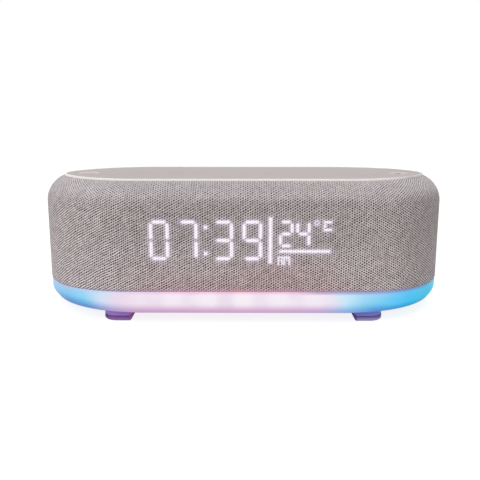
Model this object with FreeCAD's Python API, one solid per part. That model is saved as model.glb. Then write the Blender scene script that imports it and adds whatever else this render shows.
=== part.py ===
import FreeCAD, Part
import math
import os

V = FreeCAD.Vector

# A cloth-covered table clock that speaks through two loudspeakers.
# All lengths are in millimetres. Width runs along X, the front faces -Y, the table is at Z = 0.

# Body outline, seen from above
flat_front_width = 98.0
body_depth = 92.0
tip_radius = 30.0
side_arc_drop = 10.0

# Body heights
foot_height = 5.0
ring_height = 11.0
straight_wall_height = 38.5
shoulder_radius = 14.0

# General values
overrun = 1.0
fit_gap = 0.2
slide_gap = 0.3
board_thickness = 1.6
small_screw_radius = 0.95
small_screw_head_radius = 1.9
small_screw_head_height = 1.3
screw_hole_gap = 0.05
level_tolerance = 1e-4

# Cloth, cabinet and top
cloth_thickness = 0.9
glue_gap = 0.1
cabinet_wall = 2.5
trim_inset = 9.1
trim_width = 1.2
trim_proud = 1.0
trim_edge_radius = 0.45
panel_drop = 0.4
panel_thickness = 2.2
deck_thickness = 2.5
pocket_inset = 13.0

# Light ring and base
ring_inset = 0.2
ring_wall = 2.4
ring_edge_radius = 3.2
lip_thickness = 1.5
lip_reach = 3.9
base_thickness = 2.5
led_board_thickness = 1.2
led_board_edge_gap = 0.4
led_board_width = 6.0
led_setback = 1.8
led_width = 3.0
led_depth = 1.6
led_height = 1.4
led_count = 30

# Feet and their screws
foot_past_flat = 12.4
foot_side_margin = 12.4
pad_height = 2.6
pad_reach = 6.95
pad_chamfer = 0.5
foot_boss_reach = 6.9
foot_boss_flare = 1.2
foot_corner = 1.0
base_post_radius = 4.0
post_clearance = 0.4
base_screw_radius = 1.45
base_screw_head_radius = 2.8
base_screw_head_height = 2.2
base_screw_length = 15.5
base_screw_tip_room = 0.5
screw_clearance = 0.25
cabinet_boss_height = 6.0
boss_rib_thickness = 2.5

# Display
digit_height = 19.2
digit_width = 9.5
digit_stroke = 1.9
small_digit_height = 13.0
small_digit_width = 7.0
small_stroke = 1.7
segment_gap = 0.35
segment_side_gap = 0.12
divider_height = 22.1
divider_width = 1.9
digit_x = (-39.1, -25.7, -9.2, 4.3)
colon_x = -17.4
colon_dot_size = 1.9
colon_half_spacing = 6.2
divider_x = 12.7
small_digit_x = (20.0, 27.9)
degree_x = 34.1
degree_outer_radius = 1.3
degree_inner_radius = 0.6
unit_x = 39.2
unit_width = 4.0
unit_height = 4.8
unit_stroke = 1.2
unit_drop = 0.35
underline_middle_x = 28.8
underline_length = 24.0
underline_height = 1.7
underline_gap = 0.9
mode_text_left_x = 16.25
letter_a_width = 2.3
letter_m_width = 2.9
letter_height = 3.9
letter_spacing = 0.45
letter_stroke = 0.55
letter_bar_gap = 0.28
mode_text_gap = 1.7
window_side_margin = 3.0
window_end_margin = 1.7
window_top_margin = 0.75
window_sheet_thickness = 0.8
housing_depth = 7.2
housing_flange_reach = 2.0
housing_flange_thickness = 2.0
display_post_past_flat = 1.5
display_post_radius = 2.2
display_post_drop = 10.0
display_board_edge = 2.3
display_screw_length = 4.5

# Loudspeakers
driver_past_flat = 17.0
driver_edge_margin = 1.5
baffle_setback = 20.0
baffle_thickness = 3.0
baffle_inner_edge_past_flat = 3.5
frame_flange_width = 3.8
frame_flange_thickness = 1.2
basket_depth = 12.0
basket_neck_radius = 10.5
basket_wall = 1.2
basket_window_width = 9.0
basket_window_start = 3.0
basket_window_end = 9.0
front_plate_radius = 9.5
front_plate_thickness = 2.0
magnet_radius = 10.5
magnet_thickness = 5.0
yoke_radius = 10.0
yoke_thickness = 2.0
pole_radius = 4.7
coil_gap = 0.4
bobbin_thickness = 0.25
winding_thickness = 0.25
winding_length = 3.0
bobbin_length = 9.5
coil_magnet_gap = 0.6
cone_neck_depth = 6.0
cone_rim_depth = 1.2
cone_thickness = 0.5
dust_cap_radius = 5.2
dust_cap_rise = 2.2
surround_width = 3.6
surround_thickness = 0.4
spider_depth = 9.0
spider_thickness = 0.4
spider_ripple = 0.5
driver_screw_length = 3.7
driver_screw_count = 4
speaker_slot_width = 2.2
speaker_slot_pitch = 4.4
speaker_slot_count = 6
speaker_slot_reach = 14.0

# Top keys, their board and switches
key_end_margin = 21.5
key_radius = 5.5
key_flange_reach = 1.0
key_flange_thickness = 0.8
key_dish_depth = 0.35
key_mark_length = 6.8
key_mark_width = 1.5
key_mark_height = 0.35
key_travel = 0.5
key_rest_gap = 0.6
key_nib_radius = 0.9
switch_size = 4.5
switch_height = 1.5
switch_well_radius = 1.25
nib_entry = 0.4
top_board_thickness = 1.2
top_board_half_width = 6.0
top_board_end = 4.5
top_board_screw_inset = 21.0
top_screw_length = 2.6

# Rear panel and main board
rear_panel_width = 70.0
rear_panel_height = 26.0
rear_panel_corner = 5.0
rear_panel_thickness = 2.0
rear_panel_recess = 0.1
rear_panel_ledge = 8.0
rear_panel_rim = 3.5
rear_window_corner = 2.0
rear_key_radius = 3.0
rear_key_margin = 5.0
rear_key_rise = 4.5
rear_row_drop = 5.0
rear_switch_height = 2.6
main_board_width = 68.0
main_board_height = 28.0
board_post_radius = 2.2
board_post_edge = 3.0
board_screw_length = 4.2
panel_screw_length = 5.0
panel_screw_head_cone = 0.9
panel_post_length = 2.4
vent_margin = 6.5
vent_pitch = 3.0
vent_radius = 0.6

# Charging socket
socket_margin = 13.0
socket_width = 8.94
socket_height = 3.26
socket_wall = 0.3
socket_recess = 0.5
socket_floor = 1.0
tongue_width = 6.7
tongue_thickness = 0.7
tongue_recess = 0.8

# Power slide switch
slider_x = 6.0
slider_body_width = 9.0
slider_body_height = 4.0
slider_body_depth = 3.5
slider_travel = 2.0
slider_knob_width = 2.6
slider_knob_height = 1.8
slider_knob_recess = 0.2
slider_foot_depth = 1.5

# Temperature sensor and board components
sensor_width = 3.0
sensor_height = 2.4
sensor_depth = 1.4
chip_size = 9.0
chip_height = 1.2
speech_chip_size = 7.0
capacitor_radius = 2.5
capacitor_height = 7.0
coin_radius = 3.4
coin_height = 2.2
chip_row_x = 17.0
capacitor_x = 27.0
crystal_length = 6.0
crystal_width = 2.0

# Rechargeable cell and its cradle
cell_radius = 9.1
cell_length = 65.0
cell_cap_radius = 3.0
cell_cap_height = 1.5
cell_y = 6.0
cell_gap = 0.3
cradle_wall = 1.8
cradle_floor = 2.0
cradle_side_height = 9.0
cradle_screw_inset = 6.0
cradle_screw_length = 3.6

# Worked-out sizes of the body
half_depth = body_depth / 2
half_flat = flat_front_width / 2
side_radius = half_depth + side_arc_drop
arc_turn = math.acos(side_arc_drop / (side_radius - tip_radius))
tip_centre_x = half_flat + (side_radius - tip_radius) * math.sin(arc_turn)
half_width = tip_centre_x + tip_radius
ring_base_z = foot_height
wall_base_z = foot_height + ring_height
shoulder_z = wall_base_z + straight_wall_height
crown_z = shoulder_z + shoulder_radius
cloth_edge_rise = math.sqrt(shoulder_radius ** 2 - (shoulder_radius - trim_inset) ** 2)
trim_top_z = shoulder_z + cloth_edge_rise + trim_proud
panel_top_z = trim_top_z - panel_drop
rim_z = panel_top_z - panel_thickness
cabinet_inset = cloth_thickness + glue_gap
cavity_inset = cabinet_inset + cabinet_wall
key_clear = key_travel + key_rest_gap
switch_well_depth = nib_entry + key_travel + fit_gap
key_flange_top_z = rim_z - slide_gap
key_flange_low_z = key_flange_top_z - key_flange_thickness
top_switch_top_z = key_flange_low_z - key_clear
top_board_top_z = top_switch_top_z - switch_height
pocket_floor_z = top_board_top_z - top_board_thickness
deck_under_z = pocket_floor_z - deck_thickness
ring_inner_inset = ring_inset + ring_wall
base_inset = ring_inner_inset + fit_gap
base_top_z = ring_base_z + base_thickness
led_board_z = base_top_z + lip_thickness
led_board_inset = ring_inner_inset + led_board_edge_gap
foot_x = half_flat + foot_past_flat
foot_y = half_depth - foot_side_margin
foot_places = [(sx * foot_x, sy * foot_y) for sy in (-1, 1) for sx in (-1, 1)]

# Worked-out places at the front
front_wall_y = -(half_depth - cabinet_inset)
front_inner_y = -(half_depth - cavity_inset)
window_half_width = half_flat - window_side_margin
window_half_height = divider_height / 2 + window_end_margin
display_z = shoulder_z - window_top_margin - window_half_height
housing_front_y = front_wall_y + window_sheet_thickness
housing_back_y = housing_front_y + housing_depth
display_board_back_y = housing_back_y + board_thickness
display_post_x = half_flat + display_post_past_flat
display_post_places = [
    (sx * display_post_x, display_z + sz * display_post_drop) for sz in (-1, 1) for sx in (-1, 1)
]

# Worked-out places of the loudspeakers
driver_x = half_flat + driver_past_flat
driver_z = (wall_base_z + deck_under_z) / 2
frame_radius = (deck_under_z - wall_base_z) / 2 - driver_edge_margin
opening_radius = frame_radius - frame_flange_width
baffle_front_y = -(half_depth - baffle_setback)
baffle_back_y = baffle_front_y + baffle_thickness
plate_hole_radius = pole_radius + coil_gap + bobbin_thickness + winding_thickness + coil_gap
magnet_hole_radius = plate_hole_radius + coil_magnet_gap
bobbin_radius = pole_radius + coil_gap
cone_rim_radius = opening_radius - surround_width

# Worked-out places at the rear
rear_z = wall_base_z + straight_wall_height / 2
rear_inner_y = half_depth - cavity_inset
panel_front_y = half_depth - rear_panel_recess
panel_back_y = panel_front_y - rear_panel_thickness
rear_flange_front_y = panel_back_y - slide_gap
rear_flange_back_y = rear_flange_front_y - key_flange_thickness
rear_switch_front_y = rear_flange_back_y - key_clear
board_front_y = rear_switch_front_y - rear_switch_height
board_back_y = board_front_y - board_thickness
rear_key_z = rear_z + rear_key_rise
rear_row_z = rear_z - rear_row_drop
board_post_x = main_board_width / 2 - board_post_edge
board_post_drop = main_board_height / 2 - board_post_edge
board_post_places = [(sx * board_post_x, rear_z + sz * board_post_drop) for sz in (-1, 1) for sx in (-1, 1)]
rear_window_width = rear_panel_width - 2 * rear_panel_ledge
rear_window_height = rear_panel_height - 2 * rear_panel_rim
panel_screw_x = rear_panel_width / 2 - rear_panel_ledge / 2
panel_screw_places = [(sx * panel_screw_x, rear_z) for sx in (-1, 1)]
outer_key_x = rear_window_width / 2 - rear_key_margin - rear_key_radius - key_flange_reach
rear_keys = {
    "hour_key": -outer_key_x,
    "minute_key": -outer_key_x / 3,
    "alarm_key": outer_key_x / 3,
    "mode_key": outer_key_x,
}
socket_x = socket_margin - rear_window_width / 2
vent_x = rear_window_width / 2 - vent_margin
key_x = half_width - key_end_margin
top_board_half_length = key_x + top_board_end
top_screw_places = [(sx * (key_x - top_board_screw_inset), 0) for sx in (-1, 1)]

os.makedirs("parts", exist_ok=True)


def save(name, shape):
    shape.exportStep("parts/" + name + ".step")


# Shapes that follow the body's outline


def outline(inset, z):
    """The body's outline, moved inwards by inset, at the height z."""
    side = side_radius - inset
    tip = tip_radius - inset
    half = half_depth - inset
    middle_turn = arc_turn / 2

    def on_side(turn, sx, sy):
        x = half_flat + side * math.sin(turn)
        y = side * math.cos(turn) - side_arc_drop
        return V(sx * x, sy * y, z)

    edges = []
    for sx in (1, -1):
        tip_point = V(sx * (tip_centre_x + tip), 0, z)
        for sy in (1, -1):
            start, middle, end = [on_side(turn, sx, sy) for turn in (0, middle_turn, arc_turn)]
            edges.append(Part.Arc(start, middle, end))
        edges.append(Part.Arc(on_side(arc_turn, sx, 1), tip_point, on_side(arc_turn, sx, -1)))
    for sy in (1, -1):
        edges.append(Part.LineSegment(V(half_flat, sy * half, z), V(-half_flat, sy * half, z)))
    return Part.Wire(Part.__sortEdges__([edge.toShape() for edge in edges]))


def slab(inset, low_z, high_z):
    """A solid with the body's outline between two heights."""
    return Part.Face(outline(inset, low_z)).extrude(V(0, 0, high_z - low_z))


def band(outer_inset, inner_inset, low_z, high_z):
    """A closed band that follows the outline."""
    return slab(outer_inset, low_z, high_z).cut(slab(inner_inset, low_z - overrun, high_z + overrun))


def edges_at(shape, z):
    """The edges of a shape that lie flat at one height."""

    def is_level(edge):
        box = edge.BoundBox
        return max(abs(box.ZMin - z), abs(box.ZMax - z)) < level_tolerance

    return [edge for edge in shape.Edges if is_level(edge)]


def domed(inset, low_z):
    """The body's rounded outer form, shrunk by inset, from low_z upwards."""
    top_z = crown_z - inset
    block = slab(inset, low_z, top_z)
    return block.makeFillet(shoulder_radius - inset, edges_at(block, top_z))


# Shapes with their axis along Y or Z


def box_between(x0, x1, y0, y1, z0, z1):
    return Part.makeBox(x1 - x0, y1 - y0, z1 - z0, V(x0, y0, z0))


def box_at(x, z, width, height, y0, y1):
    """A box centred on x and z, between two depths."""
    return box_between(x - width / 2, x + width / 2, y0, y1, z - height / 2, z + height / 2)


def rod_y(x, z, radius, y0, y1):
    return Part.makeCylinder(radius, y1 - y0, V(x, y0, z), V(0, 1, 0))


def rod_z(x, y, radius, z0, z1):
    return Part.makeCylinder(radius, z1 - z0, V(x, y, z0))


def tube_y(x, z, outer, inner, y0, y1):
    return rod_y(x, z, outer, y0, y1).cut(rod_y(x, z, inner, y0 - overrun, y1 + overrun))


def rounded_plate(x, z, width, height, corner, y0, y1):
    """An upright plate with rounded corners."""
    plate = box_at(x, z, width, height, y0, y1)
    upright = [edge for edge in plate.Edges if edge.BoundBox.YLength > (y1 - y0) / 2]
    return plate.makeFillet(corner, upright)


def stadium_y(x, z, width, height, y0, y1):
    """A bar with round ends, lying along X and pushed along Y."""
    reach = (width - height) / 2
    bar = box_at(x, z, width - height, height, y0, y1)
    for side in (-1, 1):
        bar = bar.fuse(rod_y(x + side * reach, z, height / 2, y0, y1))
    return bar.removeSplitter()


def turned_y(profile, x, z):
    """A profile of radius and depth pairs, turned about an axis along Y."""
    points = [V(x + radius, y, z) for radius, y in profile]
    face = Part.Face(Part.makePolygon(points + points[:1]))
    return face.revolve(V(x, 0, z), V(0, 1, 0), 360)


def small_screw(x, z, seat_y, length, way):
    """A pan-head screw along Y; way is the direction in which its shank points."""
    tip_y = seat_y + way * length
    head_y = seat_y - way * small_screw_head_height
    shank = rod_y(x, z, small_screw_radius, min(seat_y, tip_y), max(seat_y, tip_y))
    head = rod_y(x, z, small_screw_head_radius, min(seat_y, head_y), max(seat_y, head_y))
    slot = box_at(
        x,
        z,
        small_screw_head_radius,
        small_screw_radius / 2,
        min(head_y, head_y + way * small_screw_head_height / 2) - (overrun if way > 0 else 0),
        max(head_y, head_y + way * small_screw_head_height / 2) + (overrun if way < 0 else 0),
    )
    return head.fuse(shank).cut(slot)


def small_screw_down(x, y, seat_z, length):
    """A pan-head screw that points downwards."""
    head = rod_z(x, y, small_screw_head_radius, seat_z, seat_z + small_screw_head_height)
    return head.fuse(rod_z(x, y, small_screw_radius, seat_z - length, seat_z))


# Display marks: each is an outline in X and Z, drawn as a list of corners


def bar_mark(x, z, length, stroke, upright):
    """A segment with pointed ends."""
    half = length / 2
    flank = stroke / 2
    corners = [(-half, 0), (flank - half, flank), (half - flank, flank)]
    corners += [(half, 0), (half - flank, -flank), (flank - half, -flank)]
    if upright:
        corners = [(b, a) for a, b in corners]
    return [(x + a, z + b) for a, b in corners]


def box_mark(x, z, width, height):
    corners = ((-1, -1), (1, -1), (1, 1), (-1, 1))
    return [(x + sx * width / 2, z + sz * height / 2) for sx, sz in corners]


def digit_marks(x, z, width, height, stroke):
    """The seven segments of a digit."""
    across = width - stroke
    half_rise = (height - stroke) / 2
    marks = [bar_mark(x, z + level * half_rise, across - segment_gap, stroke, False) for level in (-1, 0, 1)]
    for sx in (-1, 1):
        for sz in (-1, 1):
            centre_z = z + sz * half_rise / 2
            marks.append(bar_mark(x + sx * across / 2, centre_z, half_rise - segment_gap, stroke, True))
    return marks


small_digit_z = display_z + digit_height / 2 - small_digit_height / 2
underline_z = small_digit_z - small_digit_height / 2 - underline_gap - underline_height / 2
mode_text_z = underline_z - underline_height / 2 - mode_text_gap - letter_height / 2
unit_z = small_digit_z + (small_digit_height - unit_height) / 2 - unit_drop
degree_z = small_digit_z + small_digit_height / 2 - degree_outer_radius


def unit_marks():
    """The letter C of the temperature, as three bars."""
    reach = (unit_height - unit_stroke) / 2
    marks = [box_mark(unit_x, unit_z + level * reach, unit_width, unit_stroke) for level in (-1, 1)]
    spine_x = unit_x - (unit_width - unit_stroke) / 2
    spine_height = unit_height - 2 * (unit_stroke + segment_gap)
    marks.append(box_mark(spine_x, unit_z, unit_stroke, spine_height))
    return marks


def letter_frame(left, width, has_middle_leg):
    """A block letter's outline: two legs joined at the top, and a short leg between them if asked."""
    right = left + width
    top = mode_text_z + letter_height / 2
    foot = mode_text_z - letter_height / 2
    under = top - letter_stroke
    corners = [(left, foot), (left, top), (right, top), (right, foot)]
    corners += [(right - letter_stroke, foot), (right - letter_stroke, under)]
    if has_middle_leg:
        leg_left = (left + right - letter_stroke) / 2
        leg_right = leg_left + letter_stroke
        corners += [(leg_right, under), (leg_right, mode_text_z), (leg_left, mode_text_z), (leg_left, under)]
    corners += [(left + letter_stroke, under), (left + letter_stroke, foot)]
    return corners


def mode_marks():
    """The two small block letters A and M."""
    bar_width = letter_a_width - 2 * (letter_stroke + letter_bar_gap)
    letter_m_left = mode_text_left_x + letter_a_width + letter_spacing
    marks = [letter_frame(mode_text_left_x, letter_a_width, False)]
    marks.append(box_mark(mode_text_left_x + letter_a_width / 2, mode_text_z, bar_width, letter_stroke))
    marks.append(letter_frame(letter_m_left, letter_m_width, True))
    return marks


def display_marks():
    marks = []
    for x in digit_x:
        marks += digit_marks(x, display_z, digit_width, digit_height, digit_stroke)
    for x in small_digit_x:
        marks += digit_marks(x, small_digit_z, small_digit_width, small_digit_height, small_stroke)
    for side in (-1, 1):
        dot_z = display_z + side * colon_half_spacing
        marks.append(box_mark(colon_x, dot_z, colon_dot_size, colon_dot_size))
    marks.append(box_mark(divider_x, display_z, divider_width, divider_height))
    marks.append(box_mark(underline_middle_x, underline_z, underline_length, underline_height))
    marks += unit_marks()
    marks += mode_marks()
    return marks


def mark_solid(corners, y0, y1):
    points = [V(x, y0, z) for x, z in corners]
    return Part.Face(Part.makePolygon(points + points[:1])).extrude(V(0, y1 - y0, 0))


def grown_mark(corners, reach):
    """A mark's solid grown sideways, for the opening that holds it."""
    points = [V(x, 0, z) for x, z in corners]
    wire = Part.makePolygon(points + points[:1])
    return wire.makeOffset2D(reach, 2)


# Cloth sleeve


def make_fabric_sleeve():
    sleeve = domed(0, wall_base_z).cut(domed(cloth_thickness, wall_base_z - overrun))
    mouth = slab(trim_inset - glue_gap, shoulder_z, crown_z + overrun)
    rear_cut = rounded_plate(
        0,
        rear_z,
        rear_panel_width + fit_gap,
        rear_panel_height + fit_gap,
        rear_panel_corner,
        rear_inner_y,
        half_depth + overrun,
    )
    return sleeve.cut(mouth).cut(rear_cut)


# Cabinet


def cavity(extra_inset, low_z):
    """The room inside the cabinet, below its deck."""
    room = domed(cavity_inset + extra_inset, low_z)
    ceiling = deck_under_z - extra_inset
    lid = box_between(-half_width, half_width, -half_depth, half_depth, ceiling, crown_z)
    return room.cut(lid)


def speaker_slots():
    cuts = []
    for side in (-1, 1):
        for index in range(speaker_slot_count):
            shift = (index - (speaker_slot_count - 1) / 2) * speaker_slot_pitch
            length = 2 * math.sqrt(speaker_slot_reach ** 2 - shift ** 2)
            x = side * driver_x + shift
            back_y = baffle_front_y - fit_gap
            cuts.append(box_at(x, driver_z, speaker_slot_width, length, -half_depth, back_y))
    return cuts


def make_cabinet_shell():
    form = domed(cabinet_inset, wall_base_z)
    above = box_between(-half_width, half_width, -half_depth, half_depth, rim_z, crown_z)
    form = form.cut(above)
    shell = form.cut(cavity(0, wall_base_z - overrun))
    shell = shell.cut(slab(pocket_inset, pocket_floor_z, rim_z + overrun))
    added = []
    for x, y in foot_places:
        added.append(rod_z(x, y, base_post_radius, wall_base_z, wall_base_z + cabinet_boss_height))
        wall_side_y = math.copysign(half_depth, y)
        rib = box_between(
            x - boss_rib_thickness / 2,
            x + boss_rib_thickness / 2,
            min(y, wall_side_y),
            max(y, wall_side_y),
            wall_base_z,
            wall_base_z + cabinet_boss_height,
        )
        added.append(rib.common(slab(cabinet_inset + cabinet_wall / 2, wall_base_z, shoulder_z)))
    front_root_y = front_inner_y - cabinet_wall / 2
    rear_root_y = rear_inner_y + cabinet_wall / 4
    for x, z in display_post_places:
        added.append(rod_y(x, z, display_post_radius, front_root_y, housing_back_y))
    for x, z in board_post_places:
        added.append(rod_y(x, z, board_post_radius, board_front_y, rear_root_y))
    for x, z in panel_screw_places:
        added.append(rod_y(x, z, board_post_radius, rear_inner_y - panel_post_length, rear_root_y))
    shell = shell.fuse(added)
    cuts = speaker_slots()
    cuts.append(
        box_at(
            0,
            display_z,
            2 * window_half_width,
            2 * window_half_height,
            front_wall_y - overrun,
            front_inner_y + overrun,
        )
    )
    cuts.append(
        rounded_plate(
            0,
            rear_z,
            rear_panel_width + fit_gap,
            rear_panel_height + fit_gap,
            rear_panel_corner,
            panel_back_y,
            half_depth,
        )
    )
    cuts.append(
        rounded_plate(
            0,
            rear_z,
            rear_window_width,
            rear_window_height,
            rear_window_corner,
            rear_inner_y - overrun,
            half_depth,
        )
    )
    pilot = small_screw_radius + screw_hole_gap
    for x, z in display_post_places:
        tip_y = display_board_back_y - display_screw_length - fit_gap
        cuts.append(rod_y(x, z, pilot, tip_y, housing_back_y))
    for x, z in board_post_places:
        cuts.append(rod_y(x, z, pilot, board_front_y, board_back_y + board_screw_length + fit_gap))
    for x, z in panel_screw_places:
        cuts.append(rod_y(x, z, pilot, panel_front_y - panel_screw_length - fit_gap, panel_back_y))
    for x, y in foot_places:
        hole_top = wall_base_z + cabinet_boss_height - base_screw_tip_room
        cuts.append(rod_z(x, y, base_screw_radius + screw_hole_gap, wall_base_z - overrun, hole_top))
    for x, y in top_screw_places:
        tip_z = top_board_top_z - top_screw_length - fit_gap
        cuts.append(rod_z(x, y, pilot, tip_z, pocket_floor_z + overrun))
    return shell.cut(Part.makeCompound(cuts))


def make_speaker_baffle(side):
    inner_x = half_flat - baffle_inner_edge_past_flat
    xs = sorted((side * inner_x, side * half_width))
    block = box_between(xs[0], xs[1], baffle_front_y, baffle_back_y, wall_base_z, deck_under_z)
    plate = block.common(cavity(fit_gap, wall_base_z))
    low = baffle_front_y - overrun
    high = baffle_back_y + overrun
    cuts = [rod_y(side * driver_x, driver_z, opening_radius, low, high)]
    pilot = small_screw_radius + screw_hole_gap
    cuts += [rod_y(x, z, pilot, low, high) for x, z in driver_screw_places(side)]
    return plate.cut(Part.makeCompound(cuts))


# Top


def make_top_panel():
    panel = slab(trim_inset + trim_width + fit_gap / 2, rim_z, panel_top_z)
    for side in (-1, 1):
        hole = rod_z(side * key_x, 0, key_radius + fit_gap, rim_z - overrun, panel_top_z + overrun)
        panel = panel.cut(hole)
    return panel


def make_top_trim_ring():
    ring = band(trim_inset, trim_inset + trim_width, rim_z, trim_top_z)
    return ring.makeFillet(trim_edge_radius, edges_at(ring, trim_top_z))


def make_top_key(side):
    """A dished round key: the left one has a raised bar, the right one a raised dot."""
    x = side * key_x
    cap = rod_z(x, 0, key_radius, key_flange_low_z, panel_top_z)
    cap = cap.fuse(rod_z(x, 0, key_radius + key_flange_reach, key_flange_low_z, key_flange_top_z))
    dish_radius = (key_radius ** 2 + key_dish_depth ** 2) / (2 * key_dish_depth)
    dish = Part.makeSphere(dish_radius, V(x, 0, panel_top_z - key_dish_depth + dish_radius))
    cap = cap.cut(dish)
    low_z = panel_top_z - key_dish_depth - key_mark_height
    high_z = panel_top_z - key_dish_depth + key_mark_height
    if side < 0:
        half = (key_mark_length - key_mark_width) / 2
        mark = box_between(x - half, x + half, -key_mark_width / 2, key_mark_width / 2, low_z, high_z)
        for end in (-1, 1):
            mark = mark.fuse(rod_z(x + end * half, 0, key_mark_width / 2, low_z, high_z))
    else:
        mark = rod_z(x, 0, key_mark_width, low_z, high_z)
    nib = rod_z(x, 0, key_nib_radius, top_switch_top_z - nib_entry, key_flange_low_z)
    return cap.fuse([mark, nib]).removeSplitter()


def make_top_key_board():
    board = box_between(
        -top_board_half_length,
        top_board_half_length,
        -top_board_half_width,
        top_board_half_width,
        pocket_floor_z,
        top_board_top_z,
    )
    radius = small_screw_radius + screw_clearance
    for x, y in top_screw_places:
        board = board.cut(rod_z(x, y, radius, pocket_floor_z - overrun, top_board_top_z + overrun))
    return board


def make_top_switches():
    switches = []
    half = switch_size / 2
    for side in (-1, 1):
        x = side * key_x
        body = box_between(x - half, x + half, -half, half, top_board_top_z, top_switch_top_z)
        well_low = top_switch_top_z - switch_well_depth
        switches.append(body.cut(rod_z(x, 0, switch_well_radius, well_low, top_switch_top_z + overrun)))
    return Part.makeCompound(switches)


# Light ring and its board


def post_clearances(low_z, high_z):
    radius = base_post_radius + post_clearance
    return Part.makeCompound([rod_z(x, y, radius, low_z, high_z) for x, y in foot_places])


def make_light_ring():
    block = slab(ring_inset, ring_base_z, wall_base_z)
    block = block.makeFillet(ring_edge_radius, edges_at(block, ring_base_z))
    ring = block.cut(slab(ring_inner_inset, ring_base_z - overrun, wall_base_z + overrun))
    lip = band(ring_inner_inset, ring_inner_inset + lip_reach, base_top_z, led_board_z)
    lip = lip.cut(post_clearances(base_top_z - overrun, led_board_z + overrun))
    return ring.fuse(lip).removeSplitter()


def make_led_board():
    top_z = led_board_z + led_board_thickness
    board = band(led_board_inset, led_board_inset + led_board_width, led_board_z, top_z)
    return board.cut(post_clearances(led_board_z - overrun, top_z + overrun))


def make_led_chips():
    low_z = led_board_z + led_board_thickness
    path = outline(led_board_inset + led_setback, low_z)
    points = path.discretize(Number=2 * led_count + 1)
    chips = []
    for index in range(led_count):
        before = points[2 * index]
        place = points[2 * index + 1]
        after = points[2 * index + 2]
        chip = Part.makeBox(led_width, led_depth, led_height, V(-led_width / 2, -led_depth / 2, 0))
        heading = math.atan2(after.y - before.y, after.x - before.x)
        chip.rotate(V(0, 0, 0), V(0, 0, 1), math.degrees(heading))
        chip.translate(place)
        chips.append(chip)
    return Part.makeCompound(chips)


# Base, feet and base screws


def foot_form(x, y, reach, corner, low_z, high_z):
    """A block that is round at its outer end and square, with small corners, at its inner end."""
    inner_x = x - math.copysign(reach, x)
    block = box_between(min(x, inner_x), max(x, inner_x), y - reach, y + reach, low_z, high_z)

    def is_inner_corner(edge):
        box = edge.BoundBox
        return box.ZLength > (high_z - low_z) / 2 and abs(box.XMin - inner_x) < level_tolerance

    block = block.makeFillet(corner, [edge for edge in block.Edges if is_inner_corner(edge)])
    return block.fuse(rod_z(x, y, reach, low_z, high_z)).removeSplitter()


def foot_boss(x, y):
    """A boss that flares into the plate, trimmed at the plate's edge."""
    boss = foot_form(x, y, foot_boss_reach, foot_corner, pad_height, ring_base_z)
    low_z = ring_base_z - foot_boss_flare
    wide_reach = foot_boss_reach + foot_boss_flare
    flare = foot_form(x, y, wide_reach, foot_corner + foot_boss_flare, low_z, base_top_z)
    flare = flare.makeChamfer(foot_boss_flare, edges_at(flare, low_z))
    return boss.fuse(flare.common(slab(base_inset, low_z, base_top_z)))


def make_base_plate():
    plate = slab(base_inset, ring_base_z, base_top_z)
    added = []
    for x, y in foot_places:
        added.append(foot_boss(x, y))
        added.append(rod_z(x, y, base_post_radius, ring_base_z, wall_base_z))
    plate = plate.fuse(added).removeSplitter()
    cuts = []
    for x, y in foot_places:
        head_room = base_screw_head_radius + screw_clearance
        cuts.append(rod_z(x, y, head_room, pad_height - overrun, ring_base_z))
        cuts.append(rod_z(x, y, base_screw_radius + screw_clearance, ring_base_z, wall_base_z + overrun))
    for x, y in cradle_screw_places():
        hole_low = base_top_z + cradle_floor - cradle_screw_length - fit_gap
        cuts.append(rod_z(x, y, small_screw_radius + screw_hole_gap, hole_low, base_top_z + overrun))
    return plate.cut(Part.makeCompound(cuts))


def make_foot_pad(x, y):
    pad = foot_form(x, y, pad_reach, foot_corner, 0, pad_height)
    return pad.makeChamfer(pad_chamfer, edges_at(pad, 0) + edges_at(pad, pad_height))


def make_base_screws():
    screws = []
    for x, y in foot_places:
        head = rod_z(x, y, base_screw_head_radius, ring_base_z - base_screw_head_height, ring_base_z)
        shank = rod_z(x, y, base_screw_radius, ring_base_z, ring_base_z + base_screw_length)
        screws.append(head.fuse(shank))
    return Part.makeCompound(screws)


# Display pieces


def make_display_housing():
    front = box_at(
        0,
        display_z,
        2 * (window_half_width - fit_gap),
        2 * (window_half_height - fit_gap),
        housing_front_y,
        housing_back_y,
    )
    flange = box_at(
        0,
        display_z,
        2 * (window_half_width + housing_flange_reach),
        2 * (window_half_height + housing_flange_reach),
        front_inner_y,
        front_inner_y + housing_flange_thickness,
    )
    flange = flange.common(cavity(fit_gap, wall_base_z))
    block = front.fuse(flange).removeSplitter()
    low = housing_front_y - overrun
    high = housing_back_y + overrun
    openings = []
    for corners in display_marks():
        face = Part.Face(grown_mark(corners, segment_side_gap))
        face.translate(V(0, low, 0))
        openings.append(face.extrude(V(0, high - low, 0)))
    openings.append(rod_y(degree_x, degree_z, degree_outer_radius + segment_side_gap, low, high))
    return block.cut(Part.makeCompound(openings))


def make_display_segments():
    solids = [mark_solid(corners, housing_front_y, housing_back_y) for corners in display_marks()]
    solids.append(
        tube_y(degree_x, degree_z, degree_outer_radius, degree_inner_radius, housing_front_y, housing_back_y)
    )
    return Part.makeCompound(solids)


def make_display_window():
    return box_at(
        0,
        display_z,
        2 * (window_half_width - fit_gap),
        2 * (window_half_height - fit_gap),
        front_wall_y,
        housing_front_y,
    )


def make_display_board():
    half_width_here = display_post_x + display_board_edge
    board = box_at(
        0,
        display_z,
        2 * half_width_here,
        2 * (window_half_height + housing_flange_reach),
        housing_back_y,
        display_board_back_y,
    )
    for x, z in display_post_places:
        radius = small_screw_radius + screw_clearance
        board = board.cut(rod_y(x, z, radius, housing_back_y - overrun, display_board_back_y + overrun))
    return board


# Loudspeaker pieces, turned about an axis along Y and built backwards from the baffle


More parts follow.
